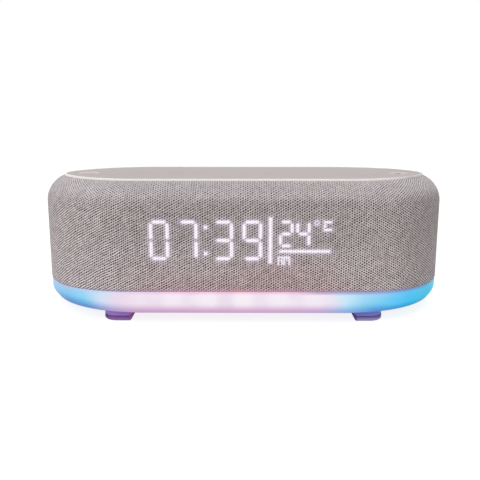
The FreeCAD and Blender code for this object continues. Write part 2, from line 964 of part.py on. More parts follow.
def driver_screw_places(side):
    circle = frame_radius - frame_flange_width / 2
    places = []
    for index in range(driver_screw_count):
        angle = 2 * math.pi * (index + 0.5) / driver_screw_count
        places.append((side * driver_x + circle * math.cos(angle), driver_z + circle * math.sin(angle)))
    return places


def basket_inner_radius(depth):
    """The radius of the basket's inner cone at a depth behind the baffle."""
    share = (depth - frame_flange_thickness) / (basket_depth - basket_wall - frame_flange_thickness)
    return opening_radius + share * (basket_neck_radius - basket_wall - opening_radius)


def make_basket(side):
    x = side * driver_x
    y0 = baffle_back_y
    bottom_y = y0 + basket_depth
    profile = [
        (opening_radius, y0),
        (frame_radius, y0),
        (frame_radius, y0 + frame_flange_thickness),
        (opening_radius + basket_wall, y0 + frame_flange_thickness),
        (basket_neck_radius, bottom_y),
        (magnet_hole_radius, bottom_y),
        (magnet_hole_radius, bottom_y - basket_wall),
        (basket_neck_radius - basket_wall, bottom_y - basket_wall),
        (opening_radius, y0 + frame_flange_thickness),
    ]
    basket = turned_y(profile, x, driver_z)
    window_y = (y0 + basket_window_start, y0 + basket_window_end)
    basket = basket.cut(box_at(x, driver_z, 2 * frame_radius, basket_window_width, *window_y))
    basket = basket.cut(box_at(x, driver_z, basket_window_width, 2 * frame_radius, *window_y))
    seat_y = y0 + frame_flange_thickness
    head_y = seat_y + small_screw_head_height + screw_clearance
    for sx, sz in driver_screw_places(side):
        hole = rod_y(sx, sz, small_screw_radius + screw_clearance, y0 - overrun, seat_y + overrun)
        pocket = rod_y(sx, sz, small_screw_head_radius + screw_clearance, seat_y, head_y)
        basket = basket.cut(hole).cut(pocket)
    return basket


def make_front_plate(side):
    y0 = baffle_back_y + basket_depth
    y1 = y0 + front_plate_thickness
    return tube_y(side * driver_x, driver_z, front_plate_radius, plate_hole_radius, y0, y1)


def make_magnet(side):
    y = baffle_back_y + basket_depth + front_plate_thickness
    return tube_y(side * driver_x, driver_z, magnet_radius, magnet_hole_radius, y, y + magnet_thickness)


def make_yoke(side):
    x = side * driver_x
    front_y = baffle_back_y + basket_depth
    back_y = front_y + front_plate_thickness + magnet_thickness
    disc = rod_y(x, driver_z, yoke_radius, back_y, back_y + yoke_thickness)
    return disc.fuse(rod_y(x, driver_z, pole_radius, front_y, back_y)).removeSplitter()


def make_voice_coil(side):
    x = side * driver_x
    start_y = baffle_back_y + cone_neck_depth
    outer = bobbin_radius + bobbin_thickness
    bobbin = tube_y(x, driver_z, outer, bobbin_radius, start_y, start_y + bobbin_length)
    winding_y = baffle_back_y + basket_depth + (front_plate_thickness - winding_length) / 2
    winding_outer = outer + winding_thickness
    winding = tube_y(x, driver_z, winding_outer, bobbin_radius, winding_y, winding_y + winding_length)
    return bobbin.fuse(winding).removeSplitter()


def make_cone(side):
    neck_y = baffle_back_y + cone_neck_depth
    rim_y = baffle_back_y + cone_rim_depth
    neck_radius = bobbin_radius + bobbin_thickness
    profile = [
        (bobbin_radius, neck_y),
        (neck_radius, neck_y),
        (cone_rim_radius, rim_y),
        (cone_rim_radius, rim_y - cone_thickness),
        (bobbin_radius, neck_y - cone_thickness),
    ]
    return turned_y(profile, side * driver_x, driver_z)


def make_dust_cap(side):
    """A thin dome that closes the cone's neck."""
    x = side * driver_x
    edge_y = baffle_back_y + cone_neck_depth - 2 * cone_thickness
    radius = (dust_cap_radius ** 2 + dust_cap_rise ** 2) / (2 * dust_cap_rise)
    centre = V(x, edge_y - dust_cap_rise + radius, driver_z)
    dome = Part.makeSphere(radius, centre).cut(Part.makeSphere(radius - cone_thickness, centre))
    return dome.common(rod_y(x, driver_z, dust_cap_radius, edge_y - dust_cap_rise - overrun, edge_y))


def make_surround(side):
    """A half roll of rubber between the cone and the basket."""
    x = side * driver_x
    roll = surround_width / 2 - fit_gap
    middle = cone_rim_radius + surround_width / 2
    place = V(x, baffle_back_y + cone_rim_depth / 2, driver_z)
    outer = Part.makeTorus(middle, roll, place, V(0, 1, 0))
    inner = Part.makeTorus(middle, roll - surround_thickness, place, V(0, 1, 0))
    front = rod_y(x, driver_z, opening_radius, place.y - surround_width, place.y)
    return outer.cut(inner).common(front)


def make_spider(side):
    """A rippled disc that centres the voice coil."""
    y = baffle_back_y + spider_depth
    inner = bobbin_radius + bobbin_thickness + coil_gap
    outer = basket_inner_radius(spider_depth + spider_thickness) - fit_gap
    steps = 6
    front = []
    back = []
    for index in range(steps + 1):
        radius = inner + (outer - inner) * index / steps
        shift = -spider_ripple if index % 2 else 0
        front.append((radius, y + shift))
        back.append((radius, y + shift + spider_thickness))
    return turned_y(front + back[::-1], side * driver_x, driver_z)


def make_driver_screws():
    seat_y = baffle_back_y + frame_flange_thickness
    screws = []
    for side in (-1, 1):
        for x, z in driver_screw_places(side):
            screws.append(small_screw(x, z, seat_y, driver_screw_length, -1))
    return Part.makeCompound(screws)


# Rear panel, keys, socket and slide switch


def make_rear_panel():
    panel = rounded_plate(
        0, rear_z, rear_panel_width, rear_panel_height, rear_panel_corner, panel_back_y, panel_front_y
    )
    low = panel_back_y - overrun
    high = panel_front_y + overrun
    cuts = [rod_y(x, rear_key_z, rear_key_radius + fit_gap, low, high) for x in rear_keys.values()]
    cuts.append(stadium_y(socket_x, rear_row_z, socket_width + fit_gap, socket_height + fit_gap, low, high))
    slot_width = slider_knob_width + slider_travel + 2 * slide_gap
    slot_height = slider_knob_height + 2 * slide_gap
    cuts.append(box_at(slider_x, rear_row_z, slot_width, slot_height, low, high))
    for column in (-1, 0, 1):
        for row in (-1, 1):
            hole_z = rear_row_z + row * vent_pitch / 2
            cuts.append(rod_y(vent_x + column * vent_pitch, hole_z, vent_radius, low, high))
    for x, z in panel_screw_places:
        cuts.append(rod_y(x, z, small_screw_radius + screw_clearance, low, high))
        cone_low = small_screw_radius + screw_clearance
        cone_high = small_screw_head_radius + screw_clearance
        cone_y = panel_front_y - panel_screw_head_cone - screw_clearance
        depth = panel_screw_head_cone + screw_clearance
        cuts.append(Part.makeCone(cone_low, cone_high, depth, V(x, cone_y, z), V(0, 1, 0)))
    return panel.cut(Part.makeCompound(cuts))


def make_rear_key(x):
    key = rod_y(x, rear_key_z, rear_key_radius, rear_flange_back_y, panel_front_y)
    flange_radius = rear_key_radius + key_flange_reach
    key = key.fuse(rod_y(x, rear_key_z, flange_radius, rear_flange_back_y, rear_flange_front_y))
    nib = rod_y(x, rear_key_z, key_nib_radius, rear_switch_front_y - nib_entry, rear_flange_back_y)
    dish_radius = (rear_key_radius ** 2 + key_dish_depth ** 2) / (2 * key_dish_depth)
    dish = Part.makeSphere(dish_radius, V(x, panel_front_y - key_dish_depth + dish_radius, rear_key_z))
    return key.fuse(nib).removeSplitter().cut(dish)


def make_rear_switches():
    switches = []
    for x in rear_keys.values():
        body = box_at(x, rear_key_z, switch_size, switch_size, board_front_y, rear_switch_front_y)
        well_low = rear_switch_front_y - switch_well_depth
        well = rod_y(x, rear_key_z, switch_well_radius, well_low, rear_switch_front_y + overrun)
        switches.append(body.cut(well))
    return Part.makeCompound(switches)


def make_charging_socket():
    mouth_y = panel_front_y - socket_recess
    shell = stadium_y(socket_x, rear_row_z, socket_width, socket_height, board_front_y, mouth_y)
    inner_width = socket_width - 2 * socket_wall
    inner_height = socket_height - 2 * socket_wall
    room = stadium_y(
        socket_x, rear_row_z, inner_width, inner_height, board_front_y + socket_floor, mouth_y + overrun
    )
    return shell.cut(room)


def make_socket_tongue():
    floor_y = board_front_y + socket_floor
    tip_y = panel_front_y - socket_recess - tongue_recess
    return box_at(socket_x, rear_row_z, tongue_width, tongue_thickness, floor_y, tip_y)


def make_power_switch_body():
    top_y = board_front_y + slider_body_depth
    body = box_at(slider_x, rear_row_z, slider_body_width, slider_body_height, board_front_y, top_y)
    slot_width = slider_knob_width + slider_travel + 2 * slide_gap
    slot_low = top_y - slider_foot_depth - slide_gap
    return body.cut(box_at(slider_x, rear_row_z, slot_width, slider_knob_height, slot_low, top_y + overrun))


def make_power_slider():
    x = slider_x - slider_travel / 2
    top_y = board_front_y + slider_body_depth
    knob_y = top_y + slide_gap
    tip_y = panel_front_y - slider_knob_recess
    knob = box_at(x, rear_row_z, slider_knob_width, slider_knob_height, knob_y, tip_y)
    foot_height_here = slider_knob_height - 2 * slide_gap
    foot = box_at(x, rear_row_z, slider_knob_width, foot_height_here, top_y - slider_foot_depth, knob_y)
    return knob.fuse(foot)


def make_main_board():
    board = box_at(0, rear_z, main_board_width, main_board_height, board_back_y, board_front_y)
    for x, z in board_post_places:
        radius = small_screw_radius + screw_clearance
        board = board.cut(rod_y(x, z, radius, board_back_y - overrun, board_front_y + overrun))
    return board


def make_board_components():
    """Chips, a crystal, a backup cell and two capacitors on the board's inner face."""
    chip_y = board_back_y - chip_height
    pieces = [
        box_at(-chip_row_x, rear_z, chip_size, chip_size, chip_y, board_back_y),
        box_at(0, rear_z, speech_chip_size, speech_chip_size, chip_y, board_back_y),
        box_at(0, rear_z - chip_size, crystal_length, crystal_width, chip_y, board_back_y),
        rod_y(chip_row_x, rear_z, coin_radius, board_back_y - coin_height, board_back_y),
    ]
    can_y = board_back_y - capacitor_height
    for side in (-1, 1):
        pieces.append(rod_y(side * capacitor_x, rear_z, capacitor_radius, can_y, board_back_y))
    return Part.makeCompound(pieces)


def make_temperature_sensor():
    tip_y = board_front_y + sensor_depth
    return box_at(vent_x, rear_row_z, sensor_width, sensor_height, board_front_y, tip_y)


def make_board_screws():
    """The small screws of the display board, main board, top board, rear panel and cradle."""
    screws = []
    for x, z in display_post_places:
        screws.append(small_screw(x, z, display_board_back_y, display_screw_length, -1))
    for x, z in board_post_places:
        screws.append(small_screw(x, z, board_back_y, board_screw_length, 1))
    for x, y in top_screw_places:
        screws.append(small_screw_down(x, y, top_board_top_z, top_screw_length))
    for x, y in cradle_screw_places():
        screws.append(small_screw_down(x, y, base_top_z + cradle_floor, cradle_screw_length))
    return Part.makeCompound(screws)


def make_panel_screws():
    """Countersunk screws that hold the rear panel, with a crossed recess."""
    screws = []
    for x, z in panel_screw_places:
        shank = rod_y(x, z, small_screw_radius, panel_front_y - panel_screw_length, panel_front_y)
        cone_y = panel_front_y - panel_screw_head_cone
        head = Part.makeCone(
            small_screw_radius, small_screw_head_radius, panel_screw_head_cone, V(x, cone_y, z), V(0, 1, 0)
        )
        screw = shank.fuse(head)
        long_side = 2 * small_screw_radius
        short_side = small_screw_radius / 2
        slot_y = panel_front_y - panel_screw_head_cone / 2
        for width, height in ((long_side, short_side), (short_side, long_side)):
            screw = screw.cut(box_at(x, z, width, height, slot_y, panel_front_y + overrun))
        screws.append(screw)
    return Part.makeCompound(screws)


# Rechargeable cell


def cradle_screw_places():
    reach = cell_length / 2 + cell_cap_height + cell_gap + cradle_wall + cradle_screw_inset / 2
    return [(sx * reach, cell_y) for sx in (-1, 1)]


def make_battery_cell():
    axis_z = base_top_z + cradle_floor + cell_radius + cell_gap
    body = Part.makeCylinder(cell_radius, cell_length, V(-cell_length / 2, cell_y, axis_z), V(1, 0, 0))
    cap = Part.makeCylinder(cell_cap_radius, cell_cap_height, V(cell_length / 2, cell_y, axis_z), V(1, 0, 0))
    return body.fuse(cap).removeSplitter()


def make_battery_cradle():
    half_length = cell_length / 2 + cell_cap_height + cell_gap
    half_width_here = cell_radius + cell_gap
    outer_x = half_length + cradle_wall
    outer_y = half_width_here + cradle_wall
    floor_z = base_top_z + cradle_floor
    side_top_z = floor_z + cradle_side_height
    tray = box_between(-outer_x, outer_x, cell_y - outer_y, cell_y + outer_y, base_top_z, side_top_z)
    low_y = cell_y - half_width_here
    high_y = cell_y + half_width_here
    tray = tray.cut(box_between(-half_length, half_length, low_y, high_y, floor_z, side_top_z + overrun))
    half_ear = cradle_screw_inset / 2
    for x, y in cradle_screw_places():
        xs = sorted((math.copysign(outer_x, x), x + math.copysign(half_ear, x)))
        tray = tray.fuse(box_between(xs[0], xs[1], y - half_ear, y + half_ear, base_top_z, floor_z))
    for x, y in cradle_screw_places():
        radius = small_screw_radius + screw_clearance
        tray = tray.cut(rod_z(x, y, radius, base_top_z - overrun, floor_z + overrun))
    return tray.removeSplitter()


# Writing the pieces

save("fabric_sleeve", make_fabric_sleeve())
save("cabinet_shell", make_cabinet_shell())
save("top_panel", make_top_panel())
save("top_trim_ring", make_top_trim_ring())
save("talk_key", make_top_key(-1))
save("light_key", make_top_key(1))
save("top_key_board", make_top_key_board())
save("top_key_switches", make_top_switches())
save("light_ring", make_light_ring())
save("led_board", make_led_board())
save("led_chips", make_led_chips())
save("base_plate", make_base_plate())
for foot_name, (pad_x, pad_y) in zip(("front_left", "front_right", "rear_left", "rear_right"), foot_places):
    save(foot_name + "_foot_pad", make_foot_pad(pad_x, pad_y))
save("base_screws", make_base_screws())
save("display_housing", make_display_housing())
save("display_segments", make_display_segments())
save("display_window", make_display_window())
save("display_board", make_display_board())
driver_pieces = {
    "speaker_baffle": make_speaker_baffle,
    "speaker_basket": make_basket,
    "speaker_front_plate": make_front_plate,
    "speaker_magnet": make_magnet,
    "speaker_yoke": make_yoke,
    "voice_coil": make_voice_coil,
    "speaker_cone": make_cone,
    "dust_cap": make_dust_cap,
    "speaker_surround": make_surround,
    "speaker_spider": make_spider,
}
for side_name, side_sign in (("left", -1), ("right", 1)):
    for piece_name, make_piece in driver_pieces.items():
        save(side_name + "_" + piece_name, make_piece(side_sign))
save("driver_screws", make_driver_screws())
save("rear_panel", make_rear_panel())
for rear_key_name, rear_key_x in rear_keys.items():
    save(rear_key_name, make_rear_key(rear_key_x))
save("rear_key_switches", make_rear_switches())
save("charging_socket", make_charging_socket())
save("charging_socket_tongue", make_socket_tongue())
save("power_switch_body", make_power_switch_body())
save("power_slider", make_power_slider())
save("main_board", make_main_board())
save("board_components", make_board_components())
save("temperature_sensor", make_temperature_sensor())
save("board_screws", make_board_screws())
save("panel_screws", make_panel_screws())
save("battery_cell", make_battery_cell())
save("battery_cradle", make_battery_cradle())
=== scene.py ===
import math

import bmesh
import bpy
import numpy as np
from mathutils import Matrix, Vector


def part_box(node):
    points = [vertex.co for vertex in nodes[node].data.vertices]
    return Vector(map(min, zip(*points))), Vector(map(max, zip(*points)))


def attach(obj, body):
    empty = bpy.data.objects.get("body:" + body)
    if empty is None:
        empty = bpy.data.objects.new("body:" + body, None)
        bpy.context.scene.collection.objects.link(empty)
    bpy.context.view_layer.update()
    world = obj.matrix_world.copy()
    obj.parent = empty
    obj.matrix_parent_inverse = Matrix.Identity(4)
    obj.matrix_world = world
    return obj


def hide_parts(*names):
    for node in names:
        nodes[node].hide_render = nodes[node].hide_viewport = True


MM = 0.001

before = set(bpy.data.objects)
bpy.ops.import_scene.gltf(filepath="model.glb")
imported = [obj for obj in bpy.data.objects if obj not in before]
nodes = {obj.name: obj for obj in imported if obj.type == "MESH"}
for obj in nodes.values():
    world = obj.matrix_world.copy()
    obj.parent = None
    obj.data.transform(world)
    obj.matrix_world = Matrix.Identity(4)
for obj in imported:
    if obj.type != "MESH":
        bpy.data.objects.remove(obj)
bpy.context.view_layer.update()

# Sizes that the looks share with the solids, in millimetres
cloth_low, cloth_high = [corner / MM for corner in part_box("fabric_sleeve")]
ring_low, ring_high = [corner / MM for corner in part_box("light_ring")]
panel_low, panel_high = [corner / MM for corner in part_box("rear_panel")]
trim_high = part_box("top_trim_ring")[1] / MM
half_depth = cloth_high.y
half_flat = 49.0
side_drop = 10.0
side_radius = half_depth + side_drop
tip_radius = 30.0
side_turn = math.acos(side_drop / (side_radius - tip_radius))
tip_centre = half_flat + (side_radius - tip_radius) * math.sin(side_turn)
shoulder_radius = 14.0
shoulder_z = 54.5
cloth_base = cloth_low.z
cloth_edge_gap = 0.05
cloth_edge_inset = half_depth - trim_high.y - cloth_edge_gap

# The rounded opening of the cloth for the rear panel
opening_gap = 0.1
opening_corner = 5.0
opening_half_width = panel_high.x + opening_gap
opening_half_height = (panel_high.z - panel_low.z) / 2 + opening_gap
opening_z = (panel_high.z + panel_low.z) / 2


# The outline of the body, as a distance round it


def line_part(start, step, length):
    return {"kind": "line", "start": start, "step": step, "length": length}


def arc_part(centre, radius, angle, turn):
    return {"kind": "arc", "centre": centre, "radius": radius, "angle": angle, "length": radius * turn}


def outline_parts():
    """The straight and round parts of the outline, from the rear middle by way of the left end."""
    quarter = math.pi / 2
    tip_turn = math.pi - 2 * side_turn
    return [
        line_part((0, half_depth), -1, half_flat),
        arc_part((-half_flat, -side_drop), side_radius, quarter, side_turn),
        arc_part((-tip_centre, 0), tip_radius, quarter + side_turn, tip_turn),
        arc_part((-half_flat, side_drop), side_radius, 3 * quarter - side_turn, side_turn),
        line_part((-half_flat, -half_depth), 1, 2 * half_flat),
        arc_part((half_flat, side_drop), side_radius, 3 * quarter, side_turn),
        arc_part((tip_centre, 0), tip_radius, 3 * quarter + side_turn, tip_turn),
        arc_part((half_flat, -side_drop), side_radius, quarter - side_turn, side_turn),
        line_part((half_flat, half_depth), -1, half_flat),
    ]


PARTS = outline_parts()
PERIMETER = sum(part["length"] for part in PARTS)
FRONT = PERIMETER / 2
part_tolerance = 1e-6


def outline_frame(distance):
    """Places on the outline and the outward direction there, for an array of distances."""
    x, y, nx, ny = [np.zeros(len(distance)) for _ in range(4)]
    start = 0.0
    for part in PARTS:
        end = start + part["length"]
        inside = (distance >= start - part_tolerance) & (distance <= end + part_tolerance)
        local = distance[inside] - start
        if part["kind"] == "line":
            start_x, start_y = part["start"]
            x[inside] = start_x + part["step"] * local
            y[inside] = start_y
            nx[inside] = 0
            ny[inside] = math.copysign(1, start_y)
        else:
            centre_x, centre_y = part["centre"]
            angle = part["angle"] + local / part["radius"]
            nx[inside] = np.cos(angle)
            ny[inside] = np.sin(angle)
            x[inside] = centre_x + part["radius"] * nx[inside]
            y[inside] = centre_y + part["radius"] * ny[inside]
        start = end
    return x, y, nx, ny


def from_middle(distance):
    """How far each place on the outline is from the front or the rear middle, whichever is nearer."""
    from_front = np.abs(distance - FRONT)
    return np.minimum(from_front, FRONT - from_front)


def sweep(distance, profile):
    """A profile of insets and heights carried round the outline, one row of places for each pair."""
    x, y, nx, ny = outline_frame(distance)
    places = np.empty((len(profile), len(distance), 3))
    for row, (inset, height) in enumerate(profile):
        places[row, :, 0] = x - inset * nx
        places[row, :, 1] = y - inset * ny
        places[row, :, 2] = height
    return places


def steps(low, high, pitch):
    """Even steps from low up to, and without, high."""
    count = max(1, round((high - low) / pitch))
    return list(np.linspace(low, high, count, endpoint=False))


def smooth_step(share):
    """A share, held between 0 and 1, that starts and ends gently."""
    held = np.clip(share, 0, 1)
    return held * held * (3 - 2 * held)


# Meshes


def make_object(name, vertices, faces, smooth=True):
    mesh = bpy.data.meshes.new(name)
    mesh.from_pydata([tuple(v) for v in vertices], [], faces)
    mesh.update()
    if smooth:
        mesh.polygons.foreach_set("use_smooth", [True] * len(mesh.polygons))
    piece = bpy.data.objects.new(name, mesh)
    bpy.context.scene.collection.objects.link(piece)
    return piece


def add_vector_attribute(piece, name, values):
    attribute = piece.data.attributes.new(name, "FLOAT_VECTOR", "POINT")
    attribute.data.foreach_set("vector", np.asarray(values, np.float32).reshape(-1))


def grid_faces(rows, columns, closed=False):
    """Four-sided faces of a grid, facing outwards on a rising profile. A closed grid wraps both ways."""
    open_ends = 0 if closed else 1
    faces = []
    for row in range(rows - open_ends):
        above = (row + 1) % rows
        for column in range(columns - open_ends):
            after = (column + 1) % columns
            faces.append((
                row * columns + column,
                row * columns + after,
                above * columns + after,
                above * columns + column,
            ))
    return faces


# Node trees


def srgb(red, green, blue):
    """A colour given in 8-bit screen values, as Blender's linear colour."""
    linear = []
    for value in (red, green, blue):
        share = value / 255
        linear.append(share / 12.92 if share <= 0.04045 else ((share + 0.055) / 1.055) ** 2.4)
    return (linear[0], linear[1], linear[2], 1.0)


class Net:
    """Adds and joins the nodes of one node tree."""

    def __init__(self, tree):
        self.nodes = tree.nodes
        self.links = tree.links

    def put(self, socket, value):
        if isinstance(value, bpy.types.NodeSocket):
            self.links.new(value, socket)
        else:
            socket.default_value = value

    def math(self, operation, *values):
        node = self.nodes.new("ShaderNodeMath")
        node.operation = operation
        for socket, value in zip(node.inputs, values):
            self.put(socket, value)
        return node.outputs[0]

    def chain(self, operation, values):
        """One operation on the first value and each of the others in turn."""
        result = values[0]
        for value in values[1:]:
            result = self.math(operation, result, value)
        return result

    def times(self, *values):
        return self.chain("MULTIPLY", values)

    def plus(self, *values):
        return self.chain("ADD", values)

    def minus(self, first, second):
        return self.math("SUBTRACT", first, second)

    def over(self, first, second):
        return self.math("DIVIDE", first, second)

    def wave(self, turns):
        """A cosine that is high at every whole number of turns."""
        return self.math("COSINE", self.times(turns, math.tau))

    def vector(self, operation, first, second):
        node = self.nodes.new("ShaderNodeVectorMath")
        node.operation = operation
        self.put(node.inputs[0], first)
        self.put(node.inputs[1], second)
        return node.outputs[0]

    def mix(self, factor, first, second, blend="MIX"):
        node = self.nodes.new("ShaderNodeMix")
        node.data_type = "RGBA"
        node.blend_type = blend
        self.put(node.inputs[0], factor)
        self.put(node.inputs[6], first)
        self.put(node.inputs[7], second)
        return node.outputs[2]

    def tinted(self, color, red, green, blue):
        """A colour with its red, green and blue each multiplied by a value."""
        return self.mix(1.0, color, (red, green, blue, 1.0), "MULTIPLY")

    def toned(self, color, tone):
        """A colour made darker or paler by one tone for all its parts."""
        return self.mix(1.0, color, self.join(tone, tone, tone), "MULTIPLY")

    def span(self, value, low, high, to_low=0.0, to_high=1.0, smooth=True):
        """Carries a value from one span to another, held at both ends."""
        node = self.nodes.new("ShaderNodeMapRange")
        node.interpolation_type = "SMOOTHSTEP" if smooth else "LINEAR"
        for index, item in enumerate((value, low, high, to_low, to_high)):
            self.put(node.inputs[index], item)
        return node.outputs[0]

    def ramp(self, value, stops):
        node = self.nodes.new("ShaderNodeValToRGB")
        elements = node.color_ramp.elements
        elements[0].position, elements[0].color = stops[0]
        elements[1].position, elements[1].color = stops[-1]
        for position, color in stops[1:-1]:
            elements.new(position).color = color
        self.put(node.inputs[0], value)
        return node.outputs[0]

    def attribute(self, name):
        node = self.nodes.new("ShaderNodeAttribute")
        node.attribute_name = name
        return node.outputs["Vector"]

    def parts(self, vector):
        node = self.nodes.new("ShaderNodeSeparateXYZ")
        self.put(node.inputs[0], vector)
        return node.outputs[0], node.outputs[1], node.outputs[2]

    def join(self, x, y, z=0.0):
        node = self.nodes.new("ShaderNodeCombineXYZ")
        for socket, value in zip(node.inputs, (x, y, z)):
            self.put(socket, value)
        return node.outputs[0]

    def place(self):
        """The object's own coordinates, in millimetres."""
        node = self.nodes.new("ShaderNodeTexCoord")
        per_metre = 1 / MM
        return self.vector("MULTIPLY", node.outputs["Object"], (per_metre, per_metre, per_metre))

    def noise(self, vector, scale, detail=2.0, roughness=0.5):
        node = self.nodes.new("ShaderNodeTexNoise")
        node.inputs["Scale"].default_value = scale
        node.inputs["Detail"].default_value = detail
        node.inputs["Roughness"].default_value = roughness
        self.put(node.inputs["Vector"], vector)
        return node.outputs["Fac"]

    def cells(self, vector):
        """One random value for each whole-numbered place of a plane."""
        node = self.nodes.new("ShaderNodeTexWhiteNoise")
        node.noise_dimensions = "2D"
        self.put(node.inputs["Vector"], vector)
        return node.outputs["Value"]

    def bump(self, height, distance_mm, strength):
        node = self.nodes.new("ShaderNodeBump")
        node.inputs["Strength"].default_value = strength
        node.inputs["Distance"].default_value = distance_mm * MM
        self.put(node.inputs["Height"], height)
        return node.outputs[0]

    def white_rays(self):
        """One for the rays of the camera, in reflections and through glass, and nothing for the others."""
        light = self.nodes.new("ShaderNodeLightPath")
        kinds = ("Is Camera Ray", "Is Glossy Ray", "Is Transmission Ray")
        return self.chain("MAXIMUM", [light.outputs[kind] for kind in kinds])


class Coat(Net):
    """The nodes of one new material."""

    def __init__(self, name):
        self.material = bpy.data.materials.new(name)
        self.material.use_nodes = True
        super().__init__(self.material.node_tree)
        self.shader = self.nodes["Principled BSDF"]

    def set(self, **values):
        """Sets sockets of the main shader, with spaces in their names written as _."""
        for name, value in values.items():
            self.put(self.shader.inputs[name.replace("_", " ")], value)


# The cloth's points

# Insets and rises of the rolled hem, and the height at which the plain wall starts
hem_roll = ((0.75, 0.02), (0.35, 0.03), (0.12, 0.15), (0.02, 0.4))
hem_height = 0.8

# How closely the points lie, in millimetres
coarse_step = 1.15
wall_step = 0.7
corner_step = 0.4
opening_step = 0.35
fine_step = 0.34
shoulder_steps = 30
display_half_width = 46.2
opening_margin = 1

# The seam at the rear middle
seam_steps = [0.0, 0.2, 0.4, 0.65, 0.95]
seam_half_width = 0.95
seam_end = 1.3
seam_depth = 0.5

# The edge that is tucked under the trim
tuck_inset = 0.03
tuck_drop = 0.25

# The edge of the opening, which is folded inwards
opening_snap = 0.22
opening_near = 0.3
opening_fold = 0.8
rear_reach = 1.2

# At the two ends the hem comes down over the ring and moves out to just behind the cloth's face
hem_drop = 1.5
hem_drop_start = 50
hem_drop_length = 55
hem_fade_height = 8
hem_face_inset = 0.14

# How far down the hem has come where it has wholly moved out
hem_out_drop = 0.1


def cloth_columns():
    """Distances round the body: close together at the display and round the rear opening."""
    first = opening_half_width - opening_corner - opening_margin
    last = opening_half_width + opening_margin
    half = seam_steps + steps(seam_end, first, coarse_step) + steps(first, last, opening_step)
    half += steps(last, FRONT - display_half_width, coarse_step)
    half += steps(FRONT - display_half_width, FRONT, fine_step)
    mirrored = [PERIMETER - d for d in reversed(half)]
    return np.array(half + [FRONT] + mirrored)


def cloth_profile():
    """Insets and heights of the cloth, from its lower hem to the edge under the trim."""
    low = opening_z - opening_half_height
    high = opening_z + opening_half_height
    wall = steps(cloth_base + hem_height, low, wall_step)
    wall += steps(low, low + opening_corner, corner_step)
    wall += steps(low + opening_corner, high, fine_step)
    wall += steps(high, shoulder_z, fine_step) + [shoulder_z]
    profile = [(inset, cloth_base + rise) for inset, rise in hem_roll]
    profile += [(0.0, z) for z in wall]
    last = math.acos(1 - cloth_edge_inset / shoulder_radius)
    for turn in np.linspace(0, last, shoulder_steps + 1)[1:]:
        inset = shoulder_radius * (1 - math.cos(turn))
        profile.append((inset, shoulder_z + shoulder_radius * math.sin(turn)))
    edge_inset, edge_z = profile[-1]
    profile.append((edge_inset + tuck_inset, edge_z - tuck_drop))
    return profile


def profile_lengths(profile):
    """How far along the profile each of its points lies."""
    lengths = [0.0]
    for before, after in zip(profile, profile[1:]):
        lengths.append(lengths[-1] + math.dist(before, after))
    return np.array(lengths)


def opening_distance(x, z):
    """How far a place at the rear lies outside the rounded opening, and the way out."""
    across = np.abs(x) - (opening_half_width - opening_corner)
    up = np.abs(z - opening_z) - (opening_half_height - opening_corner)
    outside = np.hypot(np.maximum(across, 0), np.maximum(up, 0))
    distance = outside + np.minimum(np.maximum(across, up), 0) - opening_corner
    safe = np.maximum(outside, 1e-9)
    corner = (across > 0) & (up > 0)
    way_x = np.where(corner, across / safe, np.where(across > up, 1.0, 0.0)) * np.sign(x)
    way_z = np.where(corner, up / safe, np.where(across > up, 0.0, 1.0)) * np.sign(z - opening_z)
    return distance, way_x, way_z


def fold_seam(places, distance):
    """Draws the cloth in to a shallow groove along its seam."""
    from_seam = np.minimum(distance, PERIMETER - distance)
    fold = seam_depth * (1 - np.clip(from_seam / seam_half_width, 0, 1)) ** 2
    places[:, :, 1] -= fold[None, :]


def cut_opening(places, u, v):
    """Moves the nearest points to the opening's edge, and tells which points lie on or inside it."""
    x, y, z = [places[:, :, axis] for axis in range(3)]
    rear = (y > half_depth - rear_reach) & (np.abs(x) < half_flat)
    away, way_x, way_z = opening_distance(x, z)
    near = rear & (np.abs(away) < opening_snap)
    step_x = np.where(near, away * way_x, 0)
    step_z = np.where(near, away * way_z, 0)
    x -= step_x
    z -= step_z
    u += step_x
    v -= step_z
    return (rear & ((away < 0) | near)).reshape(-1)


def lower_hem_at_ends(places, distance, profile):
    """The hem comes down a little over the ring's edge at the two ends."""
    drop = hem_drop * smooth_step((from_middle(distance) - hem_drop_start) / hem_drop_length)
    nx, ny = outline_frame(distance)[2:]
    for row, (inset, height) in enumerate(profile):
        rise = height - cloth_base
        places[row, :, 2] -= drop * max(1 - rise / hem_fade_height, 0)
        if rise < hem_height:
            outwards = max(inset - hem_face_inset, 0) * np.clip(drop / hem_out_drop, 0, 1)
            places[row, :, 0] += outwards * nx
            places[row, :, 1] += outwards * ny


def on_opening(edge):
    middle = (edge.verts[0].co + edge.verts[1].co) / 2 / MM
    if middle.y < half_depth - rear_reach:
        return False
    away = opening_distance(np.array([middle.x]), np.array([middle.z]))[0][0]
    return abs(away) < opening_near


def turn_in_opening(piece):
    """Folds the cloth inwards round the rear opening and drops the points that no face uses."""
    work = bmesh.new()
    work.from_mesh(piece.data)
    bmesh.ops.delete(work, geom=[v for v in work.verts if not v.link_faces], context="VERTS")
    edges = [e for e in work.edges if e.is_boundary and on_opening(e)]
    grown = bmesh.ops.extrude_edge_only(work, edges=edges)["geom"]
    for vertex in grown:
        if isinstance(vertex, bmesh.types.BMVert):
            vertex.co.y -= opening_fold * MM
    bmesh.ops.recalc_face_normals(work, faces=work.faces)
    work.to_mesh(piece.data)
    work.free()
    piece.data.polygons.foreach_set("use_smooth", [True] * len(piece.data.polygons))
    piece.data.update()


